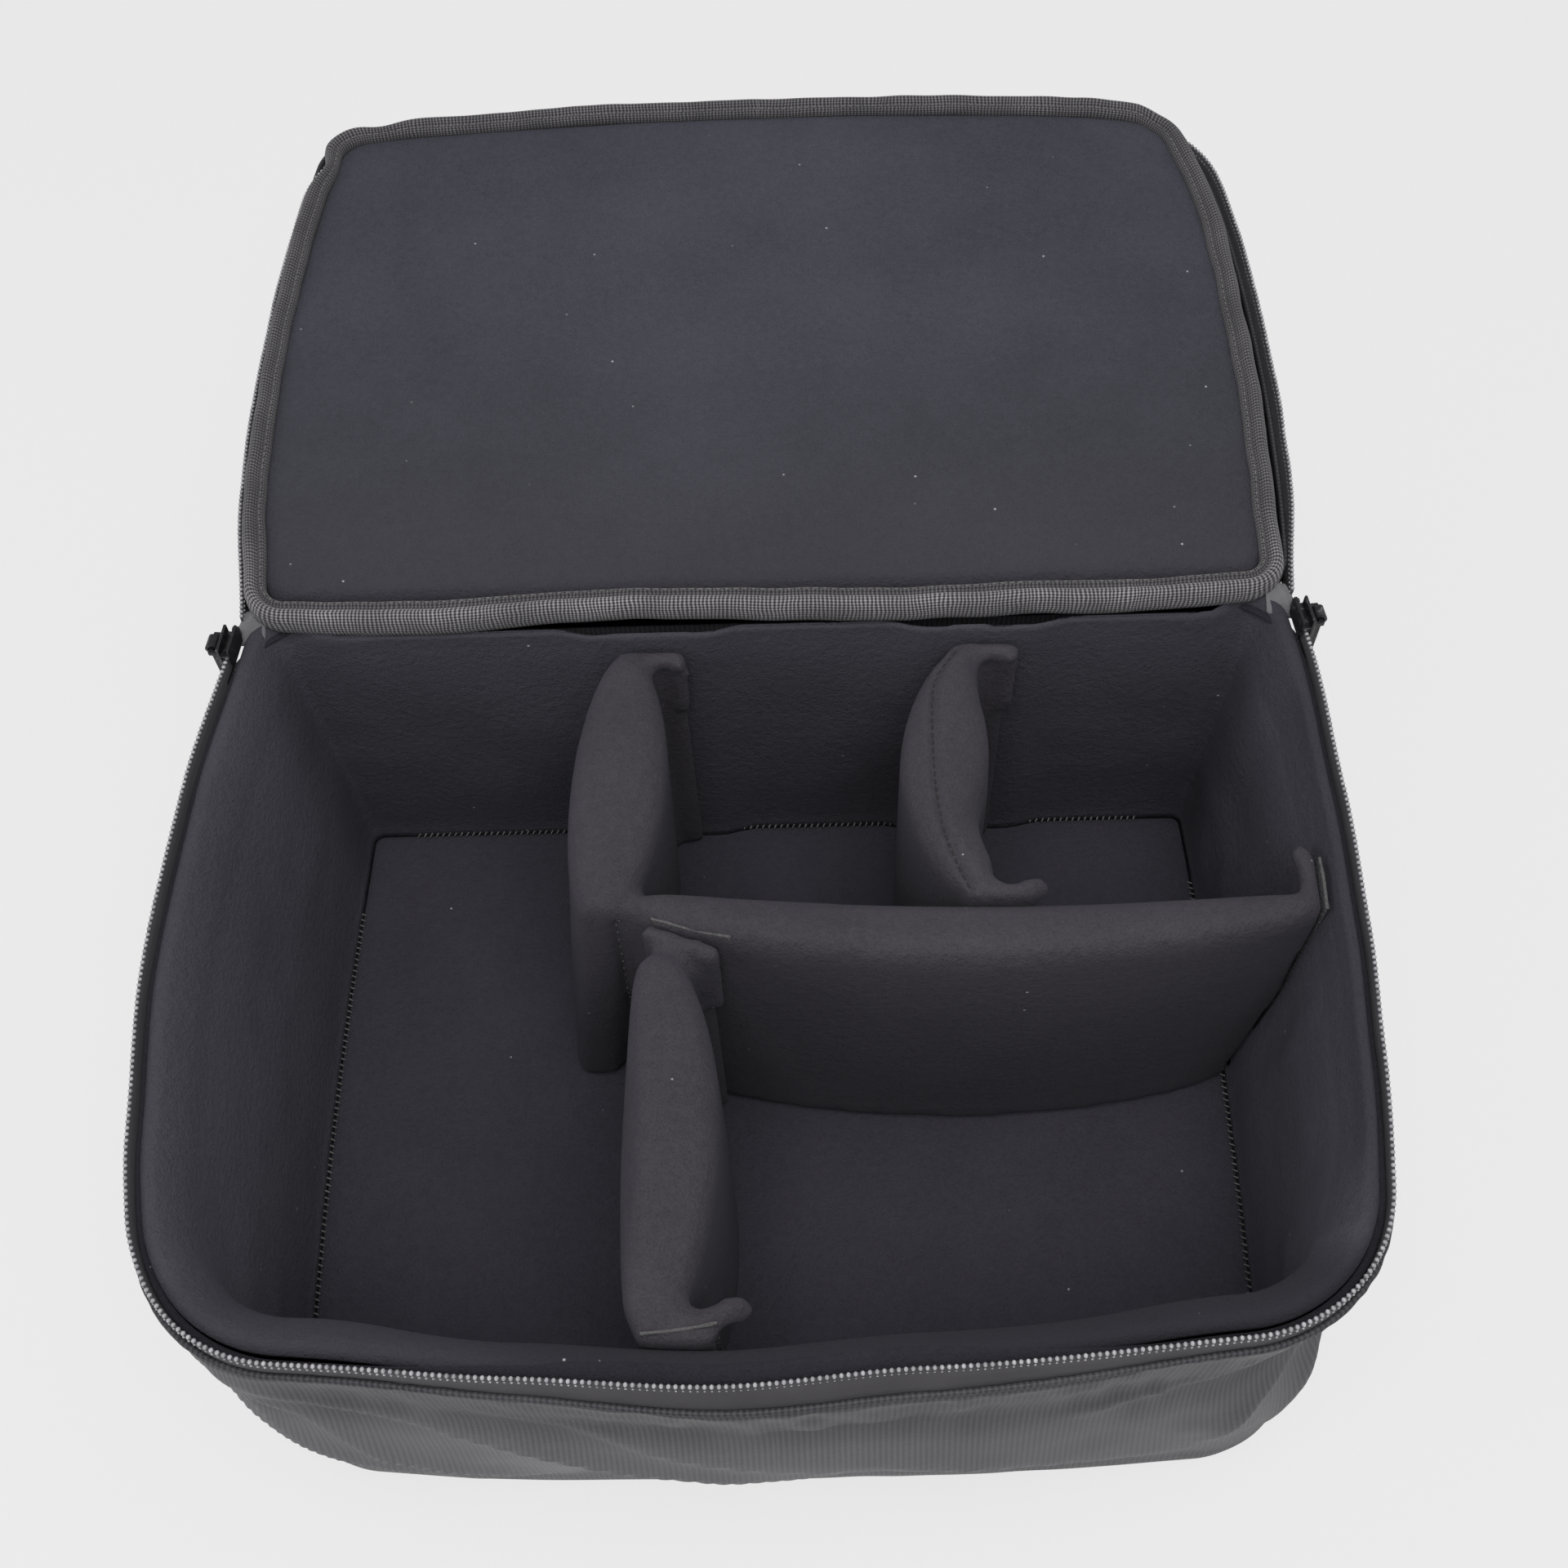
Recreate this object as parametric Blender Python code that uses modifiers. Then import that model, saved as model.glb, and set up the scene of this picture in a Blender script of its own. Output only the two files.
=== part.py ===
"""Camera bag insert: a padded zip-round box with a fold-back lid and hook-and-loop dividers.

Run with: blender --background --python part.py
Units are metres, +Z is up, +X is right and +Y is to the back, where the lid is hinged.
The origin is the middle of the base's underside.
"""
import math

import bmesh
import bpy
from mathutils import Matrix, Vector

# Overall size of the box
RIM_HEIGHT = 0.150
BASE_HALF_WIDTH = 0.1755
BASE_FRONT_REACH = 0.1275
BASE_BACK_REACH = 0.1275
RIM_HALF_WIDTH = 0.1850
RIM_FRONT_REACH = 0.1325
RIM_BACK_REACH = 0.1275

# Plan curves, at the base and at the rim
BASE_FRONT_CORNER = 0.036
BASE_BACK_CORNER = 0.030
BASE_SIDE_RADIUS = 2.5
BASE_FRONT_RADIUS = 6.0
RIM_FRONT_CORNER = 0.048
RIM_BACK_CORNER = 0.030
RIM_SIDE_RADIUS = 0.9
RIM_FRONT_RADIUS = 1.8
SIDE_CENTRE_Y = 0.015

# Cloth, foam and the gap between pieces that touch
GAP = 0.0003
COVER_CLOTH = 0.0010
LINING_CLOTH = 0.0010
WALL_FOAM = 0.0100
BASE_BOARD = 0.0020
BASE_FOAM = 0.0080
EDGE_SOFTNESS = 0.0004

# Zip
TAPE_CLOTH = 0.0008
TAPE_WIDTH = 0.0131
CHAIN_RADIUS = 0.0010
CHAIN_GAP = 0.0012
CHAIN_END_SETBACK = 0.0030
TAPE_TAIL_RAMP = 0.0080
ZIP_STOP_LENGTH = 0.0020
ZIP_STOP_WIDTH = 0.0024
ZIP_STOP_HEIGHT = 0.0050

# Outer cover and the facing that closes the top of the wall
COVER_TOP_DROP = 0.0105
COVER_FOOT_HEIGHT = 0.0070
COVER_FOOT_TUCK = 0.0037
BASE_COVER_TUCK = 0.0008
HEM_RADIUS = 0.0011
FACING_OUTER_DROP = 0.0050
FACING_INNER_DROP = 0.0090

# Hinge line on top of the back wall, and the lid's angle above level as it lies open
HINGE_SETBACK = 0.0065
HINGE_STRIP_CLOTH = 0.0008
HINGE_PANEL_CLOTH = 0.0010
LID_TILT = math.radians(2.0)

# Lid
LID_THICKNESS = 0.0205
LID_NEAR_CORNER = 0.018
LID_COVER_LIP = 0.0046
LID_COVER_SHOULDER = 0.0045
LID_FOAM_CHAMFER = 0.0022
LID_PAD_CORNER = 0.010
BINDING_TUCK = 0.0035
BINDING_WIDTH = 0.0090
BINDING_DEPTH = 0.0045
BINDING_SHOULDER = 0.0018
BINDING_CHEEK = 0.0025
BINDING_HINGE_GAP = 0.0012
LID_LINING_CLOTH = 0.0010
LID_CROWN = 0.0012
LID_CROWN_EDGE = 0.014

# Zip sliders and their pulls
SLIDER_LENGTH = 0.0110
SLIDER_HEIGHT = 0.0080
SLIDER_PLATE = 0.0010
SLIDER_WEB = 0.0006
SLIDER_SETBACK = 0.0090
BRIDGE_LENGTH = 0.0090
BRIDGE_REACH = 0.0038
BRIDGE_THICKNESS = 0.0014
PULL_LENGTH = 0.0220
PULL_WIDTH = 0.0050
PULL_THICKNESS = 0.0014
PULL_EYE_RADIUS = 0.0014
PULL_EYE_WALL = 0.0008

# Dividers
DIVIDER_TOP_DROP = 0.0080
DIVIDER_CLOTH = 0.0010
DIVIDER_END_HALF = 0.0035
DIVIDER_ROLL_HEIGHT = 0.0110
DIVIDER_FOAM_DROP = 0.0040
TAB_THICKNESS = 0.0045
TAB_WIDTH = 0.0220
TAB_DROP = 0.0020
HOOK_THICKNESS = 0.0008
HOOK_WIDTH = 0.0180
HOOK_DROP = 0.0030
HOOK_FOOT = 0.0060
CREASE_THICKNESS = 0.0050
CREASE_BEND = 0.0050
CREASE_DROP = 0.0040
ROLL_END_DRAW = 0.0040
REAR_SECTION_X = -0.0470
REAR_SECTION_HALF = 0.0155
REAR_SECTION_BOW = 0.0
CORNER_Y = 0.0150
CORNER_ROOM = 0.0080
CROSS_END_Y = 0.0090
CROSS_HALF = 0.0110
CROSS_BOW = -0.0090
REAR_DIVIDER_X = 0.0660
REAR_DIVIDER_HALF = 0.0135
REAR_DIVIDER_BOW = -0.0085
FRONT_DIVIDER_X = -0.0340
FRONT_DIVIDER_HALF = 0.0150
FRONT_DIVIDER_BOW = 0.0055

# How finely each curve is divided, as counts
FRONT_STEPS = 4
CORNER_STEPS = 6
SIDE_STEPS = 8
BACK_CORNER_STEPS = 4
BACK_STEPS = 3
PAD_STEPS = 12
BEND_STEPS = 4
ROUND_STEPS = 16
CORNER_ROUNDS = 20

# Shares of a divider's roll: how far each level lies below the top, and how wide it is there
ROLL_DROP_SHARES = (1.0, 0.42, 0.10, 0.0)
ROLL_WIDTH_SHARES = (1.0, 0.88, 0.66, 0.48)
PAD_FULLNESS_SHARE = 0.5

# Share of a pad's length, at each end, that leans with the wall
PAD_LEAN_SHARE = 0.3

# Colours as linear values, with roughness and metallic value
NYLON = (0.095, 0.098, 0.107), 0.42, 0.0
LOOP_LINING = (0.050, 0.052, 0.063), 0.95, 0.0
DIVIDER_LINING = (0.048, 0.047, 0.055), 0.95, 0.0
FOAM = (0.10, 0.10, 0.105), 0.9, 0.0
BOARD = (0.06, 0.06, 0.06), 0.7, 0.0
TAPE = (0.050, 0.050, 0.056), 0.8, 0.0
TEETH = (0.26, 0.26, 0.28), 0.35, 0.0
GROSGRAIN = (0.048, 0.048, 0.053), 0.8, 0.0
HOOK = (0.025, 0.025, 0.028), 0.75, 0.0
SLIDER_METAL = (0.12, 0.12, 0.13), 0.35, 0.9

# Where smooth shading breaks, and where an edge is rounded
CREASE_ANGLE = math.radians(35)
EDGE_ANGLE = math.radians(50)

for old in list(bpy.data.objects):
    bpy.data.objects.remove(old, do_unlink=True)
parts = bpy.data.collections.new("camera_bag_insert")
cutters = bpy.data.collections.new("cutters")
bpy.context.scene.collection.children.link(parts)
bpy.context.scene.collection.children.link(cutters)


class Outline:
    """The plan of the box at one level: bowed sides and front, a straight back, round corners."""

    def __init__(self, half_width, front, back, front_corner, back_corner, side_bow, front_bow):
        self.half_width = half_width
        self.front = front
        self.back = back
        self.front_corner = front_corner
        self.back_corner = back_corner
        self.side_bow = side_bow
        self.front_bow = front_bow

    def mixed(self, other, share):
        """The outline part of the way from this one to another."""
        mix = [a + (b - a) * share for a, b in zip(self.values(), other.values())]
        return Outline(*mix[:5], 1.0 / mix[5], 1.0 / mix[6])

    def values(self):
        return (self.half_width, self.front, self.back, self.front_corner, self.back_corner,
                1.0 / self.side_bow, 1.0 / self.front_bow)

    def side_x(self, y, inset=0.0):
        radius = self.side_bow - inset
        return self.half_width - self.side_bow + math.sqrt(radius ** 2 - (y - SIDE_CENTRE_Y) ** 2)

    def front_y(self, x, inset=0.0):
        radius = self.front_bow - inset
        return self.front_bow - self.front - math.sqrt(radius ** 2 - x ** 2)

    def front_corner_centre(self):
        """Where a corner circle touches both the side's circle and the front's."""
        y = self.front_corner - self.front
        for _ in range(CORNER_ROUNDS):
            x = self.side_x(y, self.front_corner)
            y = self.front_y(x, self.front_corner)
        return x, y

    def right_run(self, inset, end_y):
        """Points from the middle of the front, round the corner and along the side to end_y."""
        x0, y0 = self.front_corner_centre()
        bow_centre = self.half_width - self.side_bow
        front_angle = math.atan2(y0 + self.front - self.front_bow, x0)
        side_angle = math.atan2(y0 - SIDE_CENTRE_Y, x0 - bow_centre)
        radius = self.front_corner - inset
        front_end = x0 + radius * math.cos(front_angle)
        side_start = y0 + radius * math.sin(side_angle)
        points = []
        for i in range(FRONT_STEPS):
            x = front_end * i / FRONT_STEPS
            points.append((x, self.front_y(x, inset)))
        for i in range(CORNER_STEPS):
            angle = front_angle + (side_angle - front_angle) * i / CORNER_STEPS
            points.append((x0 + radius * math.cos(angle), y0 + radius * math.sin(angle)))
        for i in range(SIDE_STEPS + 1):
            y = side_start + (end_y - side_start) * i / SIDE_STEPS
            points.append((self.side_x(y, inset), y))
        return points

    def back_corner_centre(self):
        y = self.back - self.back_corner
        return self.side_x(y, self.back_corner), y

    def to_back(self, back, back_corner):
        """The same outline with its back edge and back corners elsewhere."""
        return Outline(self.half_width, self.front, back, self.front_corner, back_corner,
                       self.side_bow, self.front_bow)

    def run(self, inset, end_y):
        """The three zipped sides, from the left end of the hinge line round to its right end."""
        right = self.right_run(inset, end_y)
        return [(-x, y) for x, y in reversed(right[1:])] + right

    def ring(self, inset=0.0):
        """The whole closed outline, anticlockwise from the middle of the front."""
        centre_x, centre_y = self.back_corner_centre()
        bow_centre = self.half_width - self.side_bow
        start = math.atan2(centre_y - SIDE_CENTRE_Y, centre_x - bow_centre)
        radius = self.back_corner - inset
        right = self.right_run(inset, centre_y + radius * math.sin(start))
        for i in range(1, BACK_CORNER_STEPS + 1):
            angle = start + (math.pi / 2 - start) * i / BACK_CORNER_STEPS
            right.append((centre_x + radius * math.cos(angle), centre_y + radius * math.sin(angle)))
        for i in range(1, BACK_STEPS + 1):
            right.append((centre_x * (1 - i / BACK_STEPS), self.back - inset))
        return right + [(-x, y) for x, y in reversed(right[1:-1])]


BASE = Outline(BASE_HALF_WIDTH, BASE_FRONT_REACH, BASE_BACK_REACH, BASE_FRONT_CORNER,
               BASE_BACK_CORNER, BASE_SIDE_RADIUS, BASE_FRONT_RADIUS)
RIM = Outline(RIM_HALF_WIDTH, RIM_FRONT_REACH, RIM_BACK_REACH, RIM_FRONT_CORNER,
              RIM_BACK_CORNER, RIM_SIDE_RADIUS, RIM_FRONT_RADIUS)

# Layers of the wall, as distances in from the chain line
TAPE_INSIDE = TAPE_CLOTH / 2
COVER_INSET = -(TAPE_INSIDE + GAP + COVER_CLOTH)
HEM_INSET = -(TAPE_INSIDE + GAP + HEM_RADIUS)
FOAM_INSET = TAPE_INSIDE + GAP
LINING_INSET = FOAM_INSET + WALL_FOAM + GAP
INNER_INSET = LINING_INSET + LINING_CLOTH

# Levels of the layers under the floor of the box
BOARD_Z = COVER_CLOTH + GAP
BASE_FOAM_Z = BOARD_Z + BASE_BOARD + GAP
FLOOR_LINING_Z = BASE_FOAM_Z + BASE_FOAM + GAP
FLOOR_Z = FLOOR_LINING_Z + LINING_CLOTH
CHAIN_Z = CHAIN_RADIUS + CHAIN_GAP / 2
TAPE_TOP_DROP = CHAIN_Z + CHAIN_RADIUS + GAP
HINGE_Y = RIM_BACK_REACH - HINGE_SETBACK
ZIP_END_Y = HINGE_Y - CHAIN_END_SETBACK
DIVIDER_FOOT_Z = FLOOR_Z + GAP
DIVIDER_TOP_Z = RIM_HEIGHT - DIVIDER_TOP_DROP

# How far a divider's padded end stands off the face that its tab holds to
TAB_STACK = 3 * GAP + HOOK_THICKNESS + TAB_THICKNESS


def wall_outline(z):
    """The outline of the wall at a height, which widens from the base to the rim."""
    return BASE.mixed(RIM, z / RIM_HEIGHT)


def material(name, look):
    colour, roughness, metallic = look
    made = bpy.data.materials.new(name)
    made.use_nodes = True
    shader = made.node_tree.nodes["Principled BSDF"]
    shader.inputs["Base Color"].default_value = (*colour, 1.0)
    shader.inputs["Roughness"].default_value = roughness
    shader.inputs["Metallic"].default_value = metallic
    return made


def axis_empty(name, place, turn=0.0):
    empty = bpy.data.objects.new(name, None)
    empty.location = place
    empty.rotation_euler = (turn, 0.0, 0.0)
    parts.objects.link(empty)
    return empty


def add_piece(name, mesh, look, parent=None):
    piece = bpy.data.objects.new(name, mesh)
    parts.objects.link(piece)
    piece.data.materials.clear()
    piece.data.materials.append(material(name, look))
    piece.parent = parent
    return piece


def loft(name, rings, closed=True, foot=False, head=False, inner_from=None, around=False):
    """A skin through rings of points of equal count, with a flat cap at the foot or the head.

    Each four-sided patch is split along one diagonal, which layers that lie on each other share.
    From the point inner_from a ring runs back along its inner side, where the split is the other.
    """
    bm = bmesh.new()
    rows = [[bm.verts.new(point) for point in ring] for ring in rings]
    count = len(rows[0])
    for low, high in zip(rows, rows[1:] + (rows[:1] if around else [])):
        for i in range(count if closed else count - 1):
            j = (i + 1) % count
            if inner_from is None or i < inner_from:
                bm.faces.new((low[i], low[j], high[j]))
                bm.faces.new((low[i], high[j], high[i]))
            else:
                bm.faces.new((low[i], low[j], high[i]))
                bm.faces.new((low[j], high[j], high[i]))
    if foot:
        bm.faces.new(list(reversed(rows[0])))
    if head:
        bm.faces.new(rows[-1])
    mesh = bpy.data.meshes.new(name)
    bm.to_mesh(mesh)
    bm.free()
    mesh.shade_smooth()
    mesh.set_sharp_from_angle(angle=CREASE_ANGLE)
    return mesh


def solidify(piece, thickness, offset=-1.0):
    """Give an open skin its thickness, inwards unless the offset says otherwise."""
    shell = piece.modifiers.new("thickness", "SOLIDIFY")
    shell.thickness = thickness
    shell.offset = offset
    shell.use_even_offset = True


def soften(piece, width):
    bevel = piece.modifiers.new("soft_edges", "BEVEL")
    bevel.width = width
    bevel.segments = 1
    bevel.limit_method = "ANGLE"
    bevel.angle_limit = EDGE_ANGLE


def at(points, z):
    return [(x, y, z) for x, y in points]


def level_ring(z, inset):
    return at(wall_outline(z).ring(inset), z)


def slab(name, rings, look, parent=None, inner_from=None):
    """A solid between rings, capped at both ends."""
    mesh = loft(name, rings, foot=True, head=True, inner_from=inner_from)
    return add_piece(name, mesh, look, parent)


def box_mesh(size, place):
    bm = bmesh.new()
    bmesh.ops.create_cube(bm, size=1.0)
    bmesh.ops.scale(bm, vec=size, verts=bm.verts)
    bmesh.ops.translate(bm, vec=place, verts=bm.verts)
    mesh = bpy.data.meshes.new("box")
    bm.to_mesh(mesh)
    bm.free()
    return mesh


def add_tool(name, mesh, parent):
    """A shape that another piece is joined with or cut by."""
    tool = bpy.data.objects.new(name, mesh)
    tool.parent = parent
    tool.hide_render = True
    tool.display_type = "WIRE"
    cutters.objects.link(tool)
    return tool


def combine(piece, tool, operation):
    modifier = piece.modifiers.new(operation.lower(), "BOOLEAN")
    modifier.operation = operation
    modifier.object = tool
    modifier.solver = "EXACT"


def bead(name, points, radius, look, parent=None, cyclic=False):
    """A round bead along a line of points, such as a zip chain or a rolled hem."""
    curve = bpy.data.curves.new(name, "CURVE")
    curve.dimensions = "3D"
    curve.bevel_depth = radius
    curve.bevel_resolution = 1
    curve.use_fill_caps = True
    spline = curve.splines.new("POLY")
    spline.points.add(len(points) - 1)
    spline.use_cyclic_u = cyclic
    for slot, point in zip(spline.points, points):
        slot.co = (*point, 1.0)
    return add_piece(name, curve, look, parent)


# Base and walls
def make_base():
    outline = wall_outline(0.0)
    tuck = COVER_INSET + COVER_FOOT_TUCK + BASE_COVER_TUCK
    slab("base_cover", [at(outline.ring(tuck), 0.0), at(outline.ring(tuck), COVER_CLOTH)], NYLON)
    tuck = COVER_INSET + COVER_FOOT_TUCK + COVER_CLOTH + GAP
    slab("base_board", [level_ring(BOARD_Z, tuck), level_ring(BOARD_Z + BASE_BOARD, tuck)], BOARD)
    foot, head = BASE_FOAM_Z, BASE_FOAM_Z + BASE_FOAM
    slab("base_foam", [level_ring(foot, tuck), level_ring(head, tuck)], FOAM)
    foot, head = FLOOR_LINING_Z, FLOOR_LINING_Z + LINING_CLOTH
    slab("floor_lining", [level_ring(foot, LINING_INSET), level_ring(head, LINING_INSET)],
         LOOP_LINING)


def make_walls():
    cover_top = RIM_HEIGHT - COVER_TOP_DROP
    rings = [level_ring(COVER_CLOTH + GAP, COVER_INSET + COVER_FOOT_TUCK),
             level_ring(COVER_FOOT_HEIGHT, COVER_INSET), level_ring(cover_top, COVER_INSET)]
    solidify(add_piece("wall_cover", loft("wall_cover", rings), NYLON), COVER_CLOTH)

    foam_top = RIM_HEIGHT - FACING_INNER_DROP - LINING_CLOTH - 2 * GAP
    right = FRONT_STEPS + CORNER_STEPS
    side = right + SIDE_STEPS
    count = len(RIM.ring())
    half = count // 2
    spans = {"front_foam": range(-right, right + 1), "right_foam": range(right, side + 1),
             "back_foam": range(side, count - side + 1),
             "left_foam": range(count - side, count - right + 1)}
    for name, span in spans.items():
        rings = [foam_ring(z, [i % count for i in span]) for z in (FLOOR_LINING_Z, foam_top)]
        slab(name, rings, FOAM, inner_from=len(span))

    lining_foot = FLOOR_Z + GAP
    rings = [level_ring(z, LINING_INSET) for z in (lining_foot, foam_top)]
    solidify(add_piece("wall_lining", loft("wall_lining", rings), LOOP_LINING), LINING_CLOTH)


def foam_ring(z, span):
    """One level of a foam panel, with its ends drawn in to leave a gap to the next panel."""
    rows = []
    for inset in (FOAM_INSET, FOAM_INSET + WALL_FOAM):
        ring = wall_outline(z).ring(inset)
        row = [Vector((*ring[i], z)) for i in span]
        row[0] = row[0] + (row[1] - row[0]).normalized() * GAP
        row[-1] = row[-1] + (row[-2] - row[-1]).normalized() * GAP
        rows.append(row)
    return [tuple(point) for point in rows[0] + rows[1][::-1]]


def tape_row(drop, tail_drop):
    """An edge of the body's tape, whose tails leave the wall where its back corners turn in."""
    tail_y = RIM_BACK_REACH - RIM_BACK_CORNER
    outline = wall_outline(RIM_HEIGHT - drop)
    row = at(outline.run(0.0, tail_y - TAPE_TAIL_RAMP), RIM_HEIGHT - drop)
    outline = wall_outline(RIM_HEIGHT - tail_drop)
    for y in (tail_y, ZIP_END_Y):
        x = outline.side_x(y)
        row.insert(0, (-x, y, RIM_HEIGHT - tail_drop))
        row.append((x, y, RIM_HEIGHT - tail_drop))
    return row


def make_rim():
    """Zip tape, chain, stops, hem and the facing that closes the top of the wall."""
    hem_top_drop = COVER_TOP_DROP - 2 * GAP - 2 * HEM_RADIUS
    rings = [tape_row(TAPE_TOP_DROP + TAPE_WIDTH, hem_top_drop - GAP),
             tape_row(TAPE_TOP_DROP, TAPE_TOP_DROP)]
    tape = add_piece("body_zip_tape", loft("body_zip_tape", rings, closed=False), TAPE)
    solidify(tape, TAPE_CLOTH, 0.0)
    bead("body_zip_chain", at(RIM.run(0.0, ZIP_END_Y), RIM_HEIGHT - CHAIN_Z), CHAIN_RADIUS, TEETH)
    hem_z = RIM_HEIGHT - hem_top_drop - HEM_RADIUS
    bead("cover_hem", at(RIM.ring(HEM_INSET), hem_z), HEM_RADIUS, NYLON, cyclic=True)
    stop_y = ZIP_END_Y + GAP + ZIP_STOP_LENGTH / 2
    for side, sign in (("left", -1), ("right", 1)):
        size = (ZIP_STOP_WIDTH, ZIP_STOP_LENGTH, ZIP_STOP_HEIGHT)
        place = (sign * RIM.side_x(stop_y), stop_y, RIM_HEIGHT - GAP - ZIP_STOP_HEIGHT / 2)
        soften(add_piece(f"zip_stop_{side}", box_mesh(size, place), SLIDER_METAL), EDGE_SOFTNESS)

    outer = FOAM_INSET + GAP
    inner = INNER_INSET - GAP
    rings = [level_ring(RIM_HEIGHT - FACING_OUTER_DROP, outer),
             level_ring(RIM_HEIGHT - FACING_INNER_DROP, inner)]
    solidify(add_piece("rim_facing", loft("rim_facing", rings), TAPE), LINING_CLOTH)

    slope = (FACING_INNER_DROP - FACING_OUTER_DROP) / (inner - outer)
    drop = FACING_OUTER_DROP + slope * (HINGE_SETBACK - HINGE_STRIP_CLOTH / 2 - outer)
    foot = RIM_HEIGHT - drop + GAP
    head = RIM_HEIGHT - GAP
    half = RIM.back_corner_centre()[0]
    size = (2 * half, HINGE_STRIP_CLOTH, head - foot)
    add_piece("hinge_strip", box_mesh(size, (0.0, HINGE_Y, (foot + head) / 2)), NYLON)


def make_lid():
    """The lid, shaped as it lies closed on the rim and turned open about the hinge line."""
    hinge = axis_empty("lid_hinge_axis", (0.0, HINGE_Y, RIM_HEIGHT), LID_TILT - math.pi)
    plan = RIM.to_back(HINGE_Y + BINDING_TUCK - BINDING_HINGE_GAP, LID_NEAR_CORNER)
    body_back = RIM_BACK_REACH - HEM_INSET + HEM_RADIUS
    near_face = 2 * HINGE_Y - body_back - GAP
    cover_tuck = TAPE_INSIDE + GAP
    pad = RIM.to_back(near_face + cover_tuck, LID_PAD_CORNER)

    def lid_ring(outline, inset, z):
        return [(x, y - HINGE_Y, z) for x, y in outline.ring(inset)]

    shoulder = LID_COVER_SHOULDER
    top = LID_THICKNESS
    rings = [lid_ring(pad, cover_tuck, LID_COVER_LIP),
             lid_ring(pad, cover_tuck, top - shoulder),
             lid_ring(pad, cover_tuck + shoulder / 4, top - shoulder / 4),
             lid_ring(pad, cover_tuck + shoulder, top)]
    cover = add_piece("lid_cover", loft("lid_cover", rings, head=True), NYLON, hinge)
    solidify(cover, COVER_CLOTH)

    lining_top = 2 * LID_LINING_CLOTH
    foam_tuck = cover_tuck + COVER_CLOTH + GAP
    foam_top = top - COVER_CLOTH - GAP
    foam_foot = lining_top + GAP
    rings = [lid_ring(pad, foam_tuck + LID_FOAM_CHAMFER, foam_foot),
             lid_ring(pad, foam_tuck, foam_foot + LID_FOAM_CHAMFER + GAP),
             lid_ring(pad, foam_tuck, top - shoulder),
             lid_ring(pad, foam_tuck + shoulder, foam_top)]
    slab("lid_foam", rings, FOAM, hinge)

    edge = BINDING_TUCK + BINDING_WIDTH + GAP
    rings = [lid_ring(plan, edge + 2 * LID_CROWN_EDGE, LID_LINING_CLOTH - LID_CROWN),
             lid_ring(plan, edge + LID_CROWN_EDGE, LID_LINING_CLOTH - LID_CROWN / 2),
             lid_ring(plan, edge, LID_LINING_CLOTH), lid_ring(plan, edge, lining_top)]
    slab("lid_lining", rings, LOOP_LINING, hinge)

    inner = BINDING_TUCK + BINDING_WIDTH
    cheek = BINDING_CHEEK - BINDING_DEPTH
    section = [(BINDING_TUCK, cheek), (BINDING_TUCK, lining_top), (inner, lining_top),
               (inner, cheek), (inner - BINDING_SHOULDER, -BINDING_DEPTH),
               (BINDING_TUCK + BINDING_SHOULDER, -BINDING_DEPTH)]
    rings = [lid_ring(plan, inset, z) for inset, z in section]
    add_piece("lid_binding", loft("lid_binding", rings, around=True), GROSGRAIN, hinge)

    run = [(x, y - HINGE_Y) for x, y in RIM.run(0.0, ZIP_END_Y)]
    rings = [at(run, TAPE_TOP_DROP), at(run, TAPE_TOP_DROP + TAPE_WIDTH)]
    tape = add_piece("lid_zip_tape", loft("lid_zip_tape", rings, closed=False), TAPE, hinge)
    solidify(tape, TAPE_CLOTH, 0.0)
    bead("lid_zip_chain", at(run, CHAIN_Z), CHAIN_RADIUS, TEETH, hinge)

    near, far = near_face + GAP, HINGE_Y - BINDING_HINGE_GAP
    size = (2 * RIM.back_corner_centre()[0], far - near, HINGE_PANEL_CLOTH)
    place = (0.0, (near + far) / 2 - HINGE_Y, foam_foot + HINGE_PANEL_CLOTH / 2)
    add_piece("lid_hinge_panel", box_mesh(size, place), NYLON, hinge)


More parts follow.
